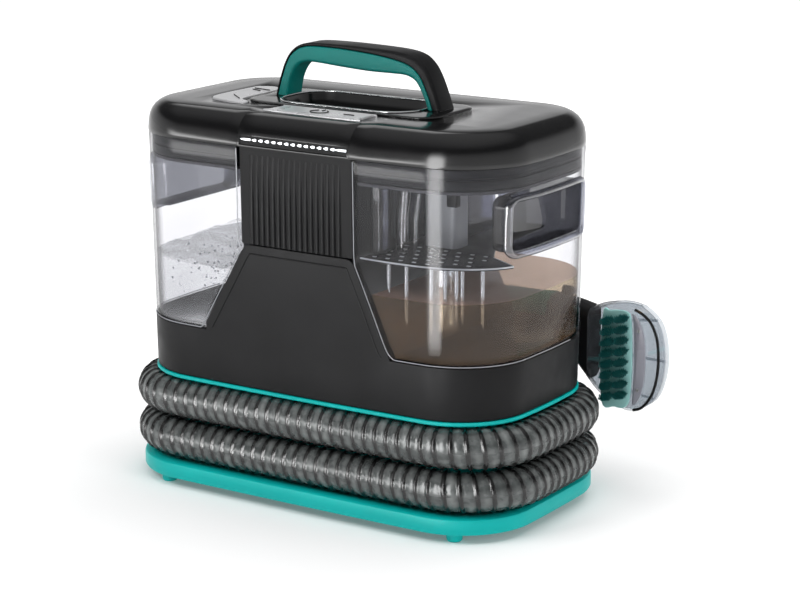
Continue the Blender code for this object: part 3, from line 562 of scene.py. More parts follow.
route = [(-87.0, 119.0, 116.0), (-97.0, 119.0, 116.0), (-107.0, 119.0, 115.9), (-130.0, 117.6, 112.6), (-159.0, 108.5, 104.0),
         (-185.0, 86.0, 94.5), (-199.0, 58.0, 85.5), (-196.0, 30.0, 79.0), (-188.0, 4.0, 76.4), (-RA, -RB + RR, UP)]
route += bend(-RA + RR, -RB + RR, 180, 270, UP)[1:]
route += [(-75.0, -RB - 0.8, UP), (-25.0, -RB - 1.2, UP), (25.0, -RB - 1.2, UP), (75.0, -RB - 0.8, UP)]
route += bend(RA - RR, -RB + RR, 270, 360, UP)
route += [(RA + 0.6, 0.0, UP)]
route += bend(RA - RR, RB - RR, 0, 90, UP)
route += [(95.0, RB, UP - 0.6), (65.0, RB, UP - 4.5), (35.0, RB, UP - 12.5), (0.0, RB, (UP + LOW) / 2 - 1), (-35.0, RB, LOW + 11.0),
          (-65.0, RB, LOW + 3.0), (-95.0, RB, LOW)]
route += bend(-RA + RR, RB - RR, 90, 180, LOW)
route += [(-RA - 0.6, 0.0, LOW)]
route += bend(-RA + RR, -RB + RR, 180, 270, LOW)
route += [(-75.0, -RB - 0.8, LOW), (-25.0, -RB - 1.2, LOW), (25.0, -RB - 1.2, LOW), (75.0, -RB - 0.8, LOW)]
route += bend(RA - RR, -RB + RR, 270, 360, LOW)
route += [(RA + 0.6, 0.0, LOW)]
route += bend(RA - RR, RB - RR, 0, 60, LOW, 3)
route += [(128.0, 98.0, LOW), (104.0, 111.0, LOW), (78.0, 124.0, LOW + 0.3), (52.0, 132.5, LOW + 1.6), (28.0, 135.5, LOW + 6.0)]
for deg in (255, 225, 195, 170, 145, 120, 100):
    t = math.radians(deg)
    route.append((2.0 + 46.0 * math.cos(t), 135.0 - (255 - deg) / 155.0 * 6.0, 92.0 + 46.0 * math.sin(t)))
route += [(16.0, 128.2, 138.0), (34.0, 128.0, 138.0)]
PITCH = 10.7


def make_hose():
    line = catmull(route, 24)
    pts, length = even(line, PITCH / 11.0)
    n = 32
    up = Vector((0, 0, 1))
    bm = bmesh.new()
    uv = bm.loops.layers.uv.new("UVMap")
    rows = []
    step = length / (len(pts) - 1)
    for i, p in enumerate(pts):
        d = (pts[min(i + 1, len(pts) - 1)] - pts[max(i - 1, 0)]).normalized()
        side = d.cross(up)
        if side.length < 0.25:
            side = Vector((0, 1, 0))
        side = (side - d * side.dot(d)).normalized()
        other = side.cross(d)
        row = []
        for k in range(n):
            a = 2 * math.pi * k / n
            phase = (i * step / PITCH + k / n) % 1.0
            q = min(phase, 1 - phase)                     # 0 on the spiral, 0.5 between two turns of it
            rib = max(0.0, 1.0 - (q / 0.13) ** 2) ** 0.5
            r = HOSE_R - 2.5 + 1.25 * math.sin(min(1.0, q / 0.5) * math.pi / 2) + 2.5 * rib
            row.append(bm.verts.new(w(*(p + (side * math.cos(a) + other * math.sin(a)) * r))))
        rows.append(row)
    for i, (lo, hi) in enumerate(zip(rows, rows[1:])):
        for k in range(n):
            j = (k + 1) % n
            f = bm.faces.new((lo[k], lo[j], hi[j], hi[k]))
            u0, u1 = i * step / PITCH, (i + 1) * step / PITCH
            v0, v1 = k / n, (k + 1) / n
            for loop, (u, v) in zip(f.loops, ((u0 + v0, v0), (u0 + v1, v1), (u1 + v1, v1), (u1 + v0, v0))):
                loop[uv].uv = (u, v)
    bm.faces.new(rows[0][::-1])
    bm.faces.new(rows[-1])
    hose = finish_mesh(bm, "corrugated_hose", 80.0)
    give(hose, "hose", instead=("vacuum_hose",))
    path, _ = even(line, 12.0)
    return hose, [tuple(w(*p)) for p in path], length


hose, hose_path, hose_length = make_hose()
TOOL_NODES = ["hose_tool_cuff", "tool_handle", "tool_neck", "trigger", "trigger_pin", "nozzle_hood", "scrub_brush", "nozzle_latch", "spray_tip"]

# ==================================================================== base plate
plate = [(BASE[0] - 2.6, 7.0), (BASE[0] - 1.0, 7.5), (BASE[0], 9.2), (BASE[0], 18.2), (BASE[0] - 0.6, 20.0), (BASE[0] - 2.4, 21.0)]
rings = []
for a, z in plate:
    k = a - BASE[0]
    rings.append(rounded(BASE[0] + k, BASE[1] + k, BASE[2] + k, z, 18, 0.8))
rings.append(rounded(BASE[0] - 12, BASE[1] - 12, BASE[2] - 12, 21.0, 18, 0.8))
rings.append(rounded(BASE[0] - 15, BASE[1] - 15, BASE[2] - 15, 19.6, 18, 0.8))
rings = [rounded(BASE[0] - 5.0, BASE[1] - 5.0, BASE[2] - 5.0, 17.3, 18, 0.8), rounded(BASE[0] - 5.0, BASE[1] - 5.0, BASE[2] - 5.0, 7.4, 18, 0.8),
         rounded(BASE[0] - 4.6, BASE[1] - 4.6, BASE[2] - 4.6, 7.0, 18, 0.8)] + rings
base = skin("base_tray", rings)
give(base, "teal", instead=("base_plate",))
ribs = []
for x in (-100, -50, 0, 50, 100):
    ribs.append(lump("rib", (x - 1, x + 1), (-95, 95), (10.0, 17.6), 0.3, 1))
for y in (-50, 0, 50):
    ribs.append(lump("rib", (-160, 160), (y - 1, y + 1), (10.5, 17.6), 0.3, 1))
for x, y in ((-140, -94), (148, -92), (-145, 92), (145, 92)):
    ribs.append(revolve("boss", [(9.5, 6.95), (10.0, 7.5), (10.0, 17.5), (0.0, 17.5)][0:3] + [(9.0, 17.6)], (x, y, 0), (0, 0, 1), 32))
give(join(ribs, "base_stiffeners"), "teal")
for name, (x, y) in {"foot_front_left": (-140, -94), "foot_front_right": (148, -92), "foot_rear_left": (-145, 92), "foot_rear_right": (145, 92)}.items():
    foot = revolve(name + "_pad", [(4.6, 0.0), (5.6, 0.25), (6.3, 1.0), (6.7, 2.6), (6.9, 6.8)], (x, y, 0), (0, 0, 1), 32)
    give(foot, "teal", instead=(name,))
core = skin("hose_drum", [rounded(162, 71, 40, 21.3, 12), rounded(161, 70, 39, 50), rounded(161, 70, 39, 66), rounded(162, 71, 40, 93.7),
                          rounded(159, 68, 37, 93.7), rounded(159, 68, 37, 24.3)][:1] +
            [rounded(161, 70, 39, 50, 12), rounded(161, 70, 39, 66, 12), rounded(162, 71, 40, 93.7, 12), rounded(159, 68, 37, 93.7, 12),
             rounded(159, 68, 37, 24.3, 12)])
give(core, "teal", instead=("hose_core",))
trim = skin("teal_trim", [rounded(177.5, 94.3, 60.0, 93.9, 18, BOW), rounded(180.0, 96.9, 62.3, 94.3, 18, BOW), rounded(180.9, 97.8, 63.1, 95.2, 18, BOW),
                          rounded(180.9, 97.8, 63.1, 96.9, 18, BOW), rounded(180.2, 97.1, 62.5, 97.5, 18, BOW)])
give(trim, "teal", instead=("trim_plate",))

# ================================================================ main housing
shell = skin("housing_shell", [body(97.85, 1.4, 18), body(98.3, 0.4, 18), body(99.4, 0.0, 18), body(120, 0, 18), body(141.9, 0, 18), body(180, 0, 18),
                               body(221.0, 0, 18), body(221.0, 3.4, 18), body(180, 3.4, 18), body(141.9, 3.4, 18), body(101.2, 3.4, 18)])
hump = [tuple(p)[:2] for p in [(q.x, q.y) for q in catmull([Vector((x, z, 0)) for x, z in HUMP_L[1:]], 8)]]
hump_r = [(q.x, q.y) for q in catmull([Vector((x, z, 0)) for x, z in HUMP_R[:-1]], 8)]
left_out = [(-240.0, 141.9), (-94.0, 141.9)] + hump + [(-44.0, 260.0), (-240.0, 260.0)]
right_out = [(240.0, 260.0), (48.0, 260.0)] + hump_r + [(90.0, 141.9), (240.0, 141.9)]
carve(shell, [slab("t1", left_out, "y", -140, 0), slab("t2", right_out, "y", -140, 0), lump("t3", (-60, 60), (-140, 0), (220.9, 260)),
              lump("t4", (-240, 240), (-40, 140), (141.9, 260)), lump("t5", (-30, 30), (85, 115), (108, 134)),
              lump("t6", (-44.5, 48.5), (-96.0, 0), (219, 223))])
ease(shell, 1.1, 3, 38.0)
give(shell, "black", instead=("main_housing",))

# a fine raised bezel just inside the hump's outline
edge = [(x, z) for x, z in hump] + [(x, z) for x, z in hump_r]
line = even([Vector((x, 0, z)) for x, z in edge], 2.5)[0]
cx, cz = 0.0, 150.0
bez = []
for i, p in enumerate(line):
    a, b = line[max(i - 1, 0)], line[min(i + 1, len(line) - 1)]
    d = (b - a).normalized()
    nrm = Vector((d.z, 0, -d.x))
    if nrm.dot(Vector((0.0, 0, 150.0)) - p) < 0:
        nrm = -nrm
    q = p + nrm * 7.5
    bez.append((q.x, front_y(q.x, q.z) + 0.15, max(q.z, 143.0)))
give(sweep("hump_bezel", bez, 0.75, 8), "black")

# ================================================= the ribbed centre column
panel = []
for z in (221.6, 240.0, 260.0, 280.0, 302.0):
    xs = [-54.8 + 109.6 * i / 24 for i in range(25)]
    panel.append([(x, front_y(x, z, 1.7), z) for x in xs] + [(54.8, -95.9, z), (-54.8, -95.9, z)])
col = skin("column_panel", panel)
ribs = [col]
count = 17
for i in range(count):
    x = -43.5 + 86.0 * i / (count - 1)
    rows = []
    for z, h in ((222.0, 2.0), (240.0, 2.0), (262.0, 1.6), (282.0, 0.9), (296.0, 0.05)):
        y = front_y(x, z, 1.7)
        rows.append([(x + 2.05, y + 0.4, z), (x + 1.5, y - 0.5 * h, z), (x + 0.8, y - 0.88 * h, z), (x, y - h, z), (x - 0.8, y - 0.88 * h, z),
                     (x - 1.5, y - 0.5 * h, z), (x - 2.05, y + 0.4, z)])
    ribs.append(skin("r", rows, angle=60))
give(join(ribs, "ribbed_column"), "black", instead=("front_grille",))

# =============================================================== the top cover
LEAN = [(183.75, 100.55, 66.0, 302.3), (183.9, 100.7, 66.1, 303.0), (183.6, 100.4, 65.7, 306.0), (182.9, 99.7, 64.2, 310.5), (181.3, 98.1, 61.2, 316.0),
        (178.9, 95.7, 57.8, 320.4), (175.7, 92.5, 53.7, 324.0), (171.6, 88.4, 48.9, 326.8), (168.0, 84.8, 44.9, 328.3), (165.6, 82.4, 42.4, 328.9),
        (150.0, 68.0, 30.0, 329.0)]


def cap(name, grow, floor, top=0.0):
    rows = []
    for a, b, r, z in LEAN:
        bow = BOW * max(0.02, (329.2 - z) / 27)
        rows.append(rounded(a + grow, b + grow, r + grow, z + (min(grow, 0.0) if z > 303 else 0.0), 18, bow))
    rows[0] = [(x, y, floor) for x, y, _ in rows[0]]
    return skin(name, rows)


POWER = [(-41.5, -76.5), (41.0, -78.5), (45.5, -74.0), (44.0, -53.0), (40.0, -50.0), (-39.0, -50.0), (-43.0, -54.0), (-45.0, -72.0)]
RELEASE = [(-124.0, -44.0), (-100.0, -57.0), (-84.0, -57.5), (-80.5, -53.0), (-84.0, -49.0), (-95.5, -38.0), (-97.5, 10.0),
           (-103.0, 23.0), (-111.0, 26.5), (-120.5, 23.0), (-125.0, 14.0)]


def grown(outline, d):
    area = sum(p[0] * q[1] - q[0] * p[1] for p, q in zip(outline, outline[1:] + outline[:1]))
    out = []
    for i, here in enumerate(outline):
        before, after = Vector(outline[i - 1]), Vector(outline[(i + 1) % len(outline)])
        one, two = (Vector(here) - before).normalized(), (after - Vector(here)).normalized()
        n1, n2 = Vector((one.y, -one.x)), Vector((two.y, -two.x))
        move = (n1 + n2) / max(1.0 + n1.dot(n2), 0.3) * d
        if area < 0:
            move = -move
        out.append((here[0] + move.x, here[1] + move.y))
    return out


cover = cap("top_shell", 0.0, 302.35)
carve(cover, [cap("t1", -3.0, 296.0), lump("t2", (-56.25, 53.45), (-120, -82.4), (290, 340)),
              skin("t3", [rounded(74, 35, 28, 300, cy=-8), rounded(74, 35, 28, 340, cy=-8)]),
              slab("t4", grown(POWER, 1.2), "z", 310, 340), slab("t5", grown(RELEASE, 1.4), "z", 310, 340)])
ease(cover, 0.5, 2, 45.0)
give(cover, "gloss", instead=("top_cover",))

bezel = cap("bezel_shell", 0.0, 302.35)
carve(bezel, [cap("t1", -3.6, 296.0), lump("t2", (-260, -56.0), (-150, 150), (290, 340)), lump("t3", (53.2, 260), (-150, 150), (290, 340)),
              lump("t4", (-260, 260), (-82.7, 150), (290, 340)), lump("t5", (-54.0, 51.6), (-130, -99.2), (304.2, 311.6))])
ease(bezel, 0.4, 2, 45.0)
give(bezel, "gloss", instead=("front_bezel",))


def lean_y(x, z):
    """The cover's front surface."""
    for lo, hi in zip(LEAN, LEAN[1:]):
        if lo[3] <= z <= hi[3]:
            f = (z - lo[3]) / (hi[3] - lo[3])
            a, b, r = (lo[i] + (hi[i] - lo[i]) * f for i in range(3))
            return -(b + BOW * max(0.02, (329.2 - z) / 27) * (1 - (abs(x) / (a - r)) ** 2))
    return -100.5


back = []
for z in (304.4, 311.4):
    xs = [-53.8 + 105.2 * i / 24 for i in range(25)]
    back.append([(x, lean_y(x, z) + 0.9, z) for x in xs] + [(51.4, -98.7, z), (-53.8, -98.7, z)])
give(skin("light_channel", back), "gloss", instead=("light_strip",))
dots = []


def glow_bar(x0, x1, z, h):
    m = max(2, int((x1 - x0) / 3))
    rows = []
    for i in range(m + 1):
        x = x0 + (x1 - x0) * i / m
        y = lean_y(x, z)
        k = max(0.25, math.sin(math.pi * min(1.0, max(0.12, i / m)) if i < m else 0.35 * math.pi)) if m < 4 else 1.0
        rows.append([(x, y + 1.0, z - h * k), (x, y + 0.25, z - h * k), (x, y - 0.05, z), (x, y + 0.25, z + h * k), (x, y + 1.0, z + h * k)])
    return skin("d", rows, angle=60)


dots.append(glow_bar(-52.8, -43.5, 308.6, 0.95))
dots.append(glow_bar(40.5, 50.4, 308.6, 0.95))
for i in range(13):
    x = -39.5 + 77.0 * i / 12
    dots.append(glow_bar(x - 1.75, x + 1.75, 308.6, 1.05))
give(join(dots, "status_lights"), "glow")

# ======================================================== island, well, handle
isl = [(70.0, 31.0, 24.0, 311.5), (73.6, 34.6, 27.0, 325.4), (73.6, 34.6, 27.0, 329.25), (93.0, 38.5, 17.0, 329.25),
       (93.1, 38.6, 17.1, 329.7), (92.9, 38.4, 16.9, 330.2), (92.2, 37.7, 16.2, 330.6), (89.0, 36.6, 15.5, 330.7),
       (67.4, 33.8, 27.8, 330.7), (66.4, 32.8, 26.8, 330.0), (65.2, 31.6, 25.6, 325.0), (63.4, 29.8, 24.0, 318.0), (60.0, 26.0, 20.0, 314.4), (50.0, 14.0, 9.0, 314.0)]
island = skin("handle_base", [rounded(a, b, r, z, 14, cx=1.5 if a > 87 else 0.0, cy=-8.0) for a, b, r, z in isl])
give(island, "gloss", instead=("handle_island",))
ring = []
for k in range(12):
    t = 2 * math.pi * k / 12
    g = 0.85 * math.cos(t)
    ring.append(rounded(67.8 + g, 34.4 + g, 28.4 + g, 331.3 + 0.75 * math.sin(t), 14, cy=-8.0))
give(skin("bright_ring", ring, closed=True, angle=60), "chrome", instead=("well_trim",))

OUTER = [(-81.2, 330.9), (-78.0, 342.0), (-75.2, 350.0), (-71.8, 359.0), (-66.0, 368.0), (-57.0, 374.6), (-44.0, 377.3), (-15.0, 377.9),
         (20.0, 377.4), (44.0, 376.2), (57.5, 373.0), (66.0, 366.5), (71.5, 358.5), (75.5, 350.0), (79.0, 341.0), (82.8, 330.9)]
INNER = [(-69.8, 330.9), (-68.2, 340.0), (-66.0, 347.0), (-62.5, 353.5), (-58.0, 358.0), (-50.0, 360.6), (-38.0, 360.6), (-15.0, 359.0),
         (12.0, 357.6), (34.0, 357.6), (48.0, 357.2), (56.5, 354.0), (61.5, 348.5), (65.0, 342.5), (67.8, 337.0), (69.8, 330.9)]
o_line = catmull([Vector((x, z, 0)) for x, z in OUTER], 8)
i_line = catmull([Vector((x, z, 0)) for x, z in INNER], 8)
share_at = [0.86, 0.86, 0.86, 0.86, 0.86, 0.85, 0.84, 0.82, 0.74, 0.62, 0.52, 0.46, 0.42, 0.40, 0.40, 0.40]
shares = [v.x for v in catmull([Vector((s, 0, 0)) for s in share_at], 8)]
frame_rows, grip_rows = [], []
for k, (o, i, s) in enumerate(zip(o_line, i_line, shares)):
    mid = i + (o - i) * s
    u = (o - i).normalized()
    hd = 12.0
    thick = (o - mid).length
    c = min(4.2, thick * 0.48)
    ring_pts = []

    def corner(px, py, cx_, cy_, a0, a1):
        out = []
        for q in range(5):
            t = math.radians(a0 + (a1 - a0) * q / 4)
            out.append((cx_ + px * math.cos(t), cy_ + py * math.sin(t)))
        return out

    shape = corner(c, c, thick - c, hd - c, 0, 90) + corner(1.0, 1.0, 1.2, hd - 1.0, 90, 180) + corner(1.0, 1.0, 1.2, -hd + 1.0, 180, 270) \
        + corner(c, c, thick - c, -hd + c, 270, 360)
    for d, y in shape:
        q = mid + u * max(d, 0.25)
        ring_pts.append((q.x, y, q.y))
    frame_rows.append(ring_pts)
    length = (mid - i).length
    f = k / (len(o_line) - 1)
    wave = 0.0
    c2 = min(3.2, length * 0.45)
    gd = 11.7
    shape = corner(0.8, 0.8, length - 1.1, gd - 0.8, 0, 90) + corner(c2, c2, c2, gd - c2, 90, 180) + corner(c2, c2, c2, -gd + c2, 180, 270) \
        + corner(0.8, 0.8, length - 1.1, -gd + 0.8, 270, 360)
    ring_pts = []
    for d, y in shape:
        q = i + u * (d + (wave * (1 - d / length) if d < length * 0.6 else 0.0))
        ring_pts.append((q.x, y, q.y))
    grip_rows.append(ring_pts)
give(skin("carry_handle", frame_rows, angle=50), "black", instead=("handle_frame",))
give(skin("handle_soft_grip", grip_rows, angle=50), "grip", instead=("handle_grip",))


def plate_of(name, outline, z0, z1, crown):
    """A button with rounded corners and a flat top."""
    pts = catmull([Vector((x, y, 0)) for x, y in outline], 5, closed=True)
    cx_, cy_ = sum(p.x for p in pts) / len(pts), sum(p.y for p in pts) / len(pts)
    rows = []
    for inset, z in ((0.0, z0), (0.0, z1 - 0.9), (0.3, z1 - 0.3), (0.9, z1), (1.3, z1)):
        row = []
        for p in pts:
            v = Vector((p.x - cx_, p.y - cy_))
            k = max(0.0, (v.length - inset) / v.length)
            row.append((cx_ + v.x * k, cy_ + v.y * k, z))
        rows.append(row)
    return skin(name, rows, angle=50)


give(plate_of("power_key", grown(POWER, -0.3), 324.7, 330.4, 0.3), "silver", "power_button", instead=("power_button",))
give(plate_of("release_key", grown(RELEASE, -0.3), 322.7, 330.2, 0.3), "silver", "release_button", instead=("release_button",))
ring_pts = []
for k in range(29):
    t = math.radians(120 + 300 * k / 28)
    ring_pts.append((0.0 + 8.0 * math.cos(t), -64.5 + 6.6 * math.sin(t), 330.75))
icon = [sweep("i", ring_pts, 0.42, 6)]
icon.append(sweep("i", [(0, -60.5, 330.75), (0, -55.5, 330.75)], 0.42, 6))
icon.append(sweep("i", [(24.0, -64.5, 330.75), (29.0, -64.5, 330.75), (34.0, -64.5, 330.75)], 0.4, 6))
give(join(icon, "power_icon"), "black", "power_button")
icon = [sweep("i", [(-118.0 + 6 * k, 8.0 - 1.0 * k, 330.6) for k in range(4)], 0.4, 6), sweep("i", [(-116.0, 2.0, 330.6), (-106.0, -1.0, 330.6)], 0.4, 6),
        sweep("i", [(-112.0, -30.0, 330.6), (-104.0, -37.0, 330.6), (-96.0, -44.0, 330.6)], 0.4, 6)]
give(join(icon, "release_icon"), "black", "release_button")

# ========================================================================= tanks
START, WALLT = 56.6, 2.6


def dee(side, x0, inset, z, n=18):
    a, b, r = size_at(z)
    a, b, r = a - inset, b - inset, r - inset
    pts = []
    m = 8
    for i in range(m):
        x = x0 + (a - r - x0) * i / m
        pts.append((x, -b - BOW * (1 - (x / (a - r)) ** 2)))
    for i in range(n + 1):
        t = math.radians(-90.0 + 90.0 * i / n)
        pts.append((a - r + r * math.cos(t), -(b - r) + r * math.sin(t)))
    for i in range(1, 6):
        y = -(b - r) + 2 * (b - r) * i / 6
        pts.append((a + BOW * 0.6 * (1 - (y / (b - r)) ** 2), y))
    for i in range(n + 1):
        t = math.radians(90.0 * i / n)
        pts.append((a - r + r * math.cos(t), (b - r) + r * math.sin(t)))
    for i in range(m - 1, -1, -1):
        x = x0 + (a - r - x0) * i / m
        pts.append((x, b + BOW * (1 - (x / (a - r)) ** 2)))
    pts = [(side * x, y, z) for x, y in pts]
    return pts if side > 0 else pts[::-1]


def tower_prism(name, grow, low=120.0, high=320.0):
    lift = grow * 0.6
    ls = [(x - grow, z + lift) for x, z in hump[:-10]]
    rs = [(x + grow, z + lift) for x, z in hump_r[10:]]
    out = [(-94.0 - grow, low)] + ls + [(-55.9 - grow * 0.4, 221.0), (-55.9 - grow * 0.4, high), (55.9 + grow * 0.4, high), (55.9 + grow * 0.4, 221.0)] + rs \
        + [(90.0 + grow, 141.9), (90.0 + grow, low)]
    return slab(name, out, "y", -140, 140)


GRIP_Y, GRIP_Z = (-60.0, 48.0), (235.0, 275.0)


def pocket(name, side, depth, grow, r):
    """The pull grip's hollow, its mouth a rounded rectangle."""
    y0, y1, z0, z1 = GRIP_Y[0] - grow, GRIP_Y[1] + grow, GRIP_Z[0] - grow, GRIP_Z[1] + grow
    hy, hz, my, mz = (y1 - y0) / 2, (z1 - z0) / 2, (y0 + y1) / 2, (z0 + z1) / 2
    rows = []
    for x, k in ((depth, 2.5), (depth + 1.5, 0.8), (depth + 4.0, 0.0), (210.0, 0.0)):
        rows.append([(side * x, my + q[0], mz + q[1]) for q in rounded(hy - k, hz - k, max(r - k, 1.0), 0, 8, side=3)])
    return skin(name, rows)


for side, name, key in ((-1, "clean", "water"), (1, "dirty", "dirty")):
    tank = skin(name + "_tank_shell", [dee(side, START, 3.4, 142.6), dee(side, START, 1.5, 143.2), dee(side, START, 0.5, 144.6), dee(side, START, 0.1, 147.0)]
                + [dee(side, START, 0.1, z) for z in (165, 183, 201, 219, 232, 245, 258, 271, 284, 301.9)])
    carve(tank, [tower_prism("tp", 0.8)])
    cavity = skin("cav", [dee(side, START + WALLT, 5.0, 145.3), dee(side, START + WALLT, 3.4, 146.4), dee(side, START + WALLT, 2.8, 149.0)]
                  + [dee(side, START + WALLT, 2.7, z) for z in (165, 183, 201, 219, 232, 245, 258, 271, 284, 306)])
    carve(cavity, [tower_prism("tp2", 0.8 + WALLT), pocket("pk2", side, 161.5, 2.6, 9.0)])
    carve(tank, [cavity, pocket("pk", side, 164.1, 0.0, 7.0)])
    ease(tank, 0.5, 2, 40.0)
    give(tank, "smoke", name + "_tank", instead=(name + "_tank",), more=("pocket" if side > 0 else "pocket_pale_painted_shade",))
    # the faces round the grip's hollow take the second material, the pocket's painted shade
    for f in tank.data.polygons:
        c = f.center
        x, y, z = abs(c.x / MM - SX), c.y / MM - SY, c.z / MM
        if GRIP_Y[0] - 3.2 < y < GRIP_Y[1] + 3.2 and GRIP_Z[0] - 3.2 < z < GRIP_Z[1] + 3.2 and 160.0 < x < 186.0 and (x < 168.0 or abs(f.normal.x) < 0.6):
            f.material_index = 1

    # the thick rounded frame round the grip's mouth
    rim = []
    hy, hz = (GRIP_Y[1] - GRIP_Y[0]) / 2 + 1.6, (GRIP_Z[1] - GRIP_Z[0]) / 2 + 2.8
    my, mz = (GRIP_Y[0] + GRIP_Y[1]) / 2, (GRIP_Z[0] + GRIP_Z[1]) / 2 - 1.2
    path = rounded(hy, hz, 8.0, 0, 8, side=4)
    rows = []
    for k in range(20):
        t = 2 * math.pi * k / 20
        out, lift = 2.7 * math.cos(t), 3.2 * math.sin(t)
        ring_pts = []
        for q in rounded(hy + out, hz + out, 8.0 + out, 0, 8, side=4):
            y, z = my + q[0], mz + q[1]
            a, b, r = size_at(z)
            far = b - r
            x = a + BOW * 0.6 * max(0.0, 1 - (y / far) ** 2) if abs(y) < far else a - r + math.sqrt(max(r * r - (abs(y) - far) ** 2, 0.0))
            ring_pts.append((side * (x + 0.2 + lift), y, z))
        rows.append(ring_pts)
    give(skin(name + "_grip_rim", rows, closed=True, angle=70), "rim", name + "_tank")

    # the water inside
    level = 196.5 if side < 0 else 193.8
    water = skin(name + "_water", [dee(side, START + 3.4, 5.0, 143.4), dee(side, START + 3.4, 3.2, 144.4), dee(side, START + 3.4, 2.9, 148.0),
                                   dee(side, START + 3.4, 3.2, level)])
    tools = [tower_prism("tp3", 0.8 + WALLT + 0.7)]
    carve(water, tools)
    give(water, key, name + "_tank")

    # painted highlight: thin pale lines stand for the light caught where the moulded wall turns
    if side > 0:
        outline = [(57.3, 300.5), (57.3, 262.0), (57.3, 224.0)] + [(x + 1.0, z + 0.6) for x, z in hump_r[12:]]
    else:
        outline = [(-57.3, 300.5), (-57.3, 262.0), (-57.6, 224.0)] + [(x - 1.0, z + 0.6) for x, z in hump[::-1][12:]]
    run = [Vector((x, front_y(x, z) - 0.05, max(z, 143.3))) for x, z in outline]
    far_x = 112.0
    for k in range(1, 6):
        x = run[-1].x + (side * far_x - run[-1].x) / (6 - k)
        run.append(Vector((x, front_y(x, 143.3), 143.3)))
    a, b, r = size_at(143.3)
    for k in range(1, 13):
        t = math.radians(-90 + 90 * k / 12)
        run.append(Vector((side * (a - r + r * math.cos(t)), -(b - r) + r * math.sin(t), 143.3)))
    run.append(Vector((side * (a + BOW * 0.5), 0.0, 143.3)))
    run.append(Vector((side * (a + BOW * 0.1), b - r, 143.3)))
    give(sweep(name + "_painted_highlight_line", even(run, 3.0)[0], 0.42, 6), "edge", name + "_tank")
    me = water.data
    if side > 0:
        me.materials.append(M["dirty_top"])
        for f in me.polygons:
            if f.normal.z > 0.9 and f.center.z > (level - 1.0) * MM:
                f.material_index = 1

    # the lid; its seal stays the CAD node
    lid = skin(name + "_lid", [dee(side, START + 3.2, 4.2, 284.2), dee(side, START + 3.2, 3.4, 285.2), dee(side, START + 3.2, 3.4, 292.0),
                               dee(side, START + 3.2, 4.4, 292.6), dee(side, START + 3.2, 4.4, 294.0), dee(side, START + 3.2, 3.4, 294.6),
                               dee(side, START + 3.2, 3.4, 301.0), dee(side, START + 3.4, 3.8, 301.4), dee(side, START + 5.2, 5.4, 301.4),
                               dee(side, START + 5.2, 5.4, 286.6)])
    give(lid, "tower", name + "_tank", instead=(name + "_tank_lid",))

# rippled top of the clean water
bm = bmesh.new()
grid = {}
for i in range(41):
    for j in range(61):
        x, y = -64.0 - 112.0 * i / 40, -92.0 + 184.0 * j / 60
        a, b, r = size_at(196)
        a, b, r = a - 4, b - 4, r - 4
        dx, dy = max(0.0, abs(x) - (a - r)), max(0.0, abs(y) - (b - r))
        if dx * dx + dy * dy > r * r:
            continue
        z = 198.0 + 1.9 * math.sin(x * 0.11 + y * 0.05) + 1.4 * math.sin(y * 0.13 - x * 0.04) + 0.9 * math.sin(x * 0.31 + y * 0.22) + 0.5 * math.sin(x * 0.5 - y * 0.43)
        grid[i, j] = bm.verts.new(w(x, y, z))
for (i, j), v in list(grid.items()):
    if (i + 1, j) in grid and (i, j + 1) in grid and (i + 1, j + 1) in grid:
        bm.faces.new((v, grid[i + 1, j], grid[i + 1, j + 1], grid[i, j + 1]))
ripple = finish_mesh(bm, "clean_water_top", 180)
give(ripple, "water", "clean_tank")
bm = bmesh.new()
for k in range(170):
    x, y = -rng.uniform(100, 174), rng.uniform(-88, 60)
    a, b, r = size_at(170)
    dx, dy = max(0.0, -x - (a - r)), max(0.0, abs(y) - (b - r))
    if math.hypot(dx, dy) > r - 7:
        continue
    z = 150 + 44 * rng.random() ** 0.7
    bmesh.ops.create_icosphere(bm, subdivisions=1, radius=rng.uniform(0.35, 1.15) * MM, matrix=Matrix.Translation(w(x, y, z)))
give(finish_mesh(bm, "water_bubbles", 180), "rods", "clean_tank")

# =========================================================== inside the dirty tank
tip = [(60.6, -95.6), (90, -96.9), (120, -95.2), (140, -90.5), (158, -81.0), (170, -70.0), (177.5, -58.0), (176.0, -54.0), (150, -38), (135, -10),
       (127, 30), (124, 80), (122, 94), (60.6, 94)]
shelf_pts = [(p.x, p.y) for p in catmull([Vector((x, y, 0)) for x, y in tip[:9]], 4)] + tip[9:]
shelf = slab("strainer_shelf", shelf_pts, "z", 220.8, 222.6)
ease(shelf, 0.35, 2, 40.0)
holes = []
for i in range(7):
    for j in range(5):
        x, y = 68.0 + i * 12.5 + (j % 2) * 6.0, -86.0 + j * 12.0
        if (x > 130 and y < -78) or x > 152:
            continue
        holes.append(lump("h", (x - 2.6, x + 2.6), (y - 2.0, y + 2.0), (218, 226), 0.0))
# painted light: small pale pads in the strainer's holes stand for light showing through them
hole_painted_light = []
for h in holes:
    c = sum((v.co for v in h.data.vertices), Vector()) / len(h.data.vertices)
    x, y = c.x / MM - SX, c.y / MM - SY
    hole_painted_light.append(lump("l", (x - 2.0, x + 1.6), (y - 1.4, y + 0.9), (222.4, 222.9), 0.2, 1))
holes = join(holes, "h")
carve(shelf, [holes])
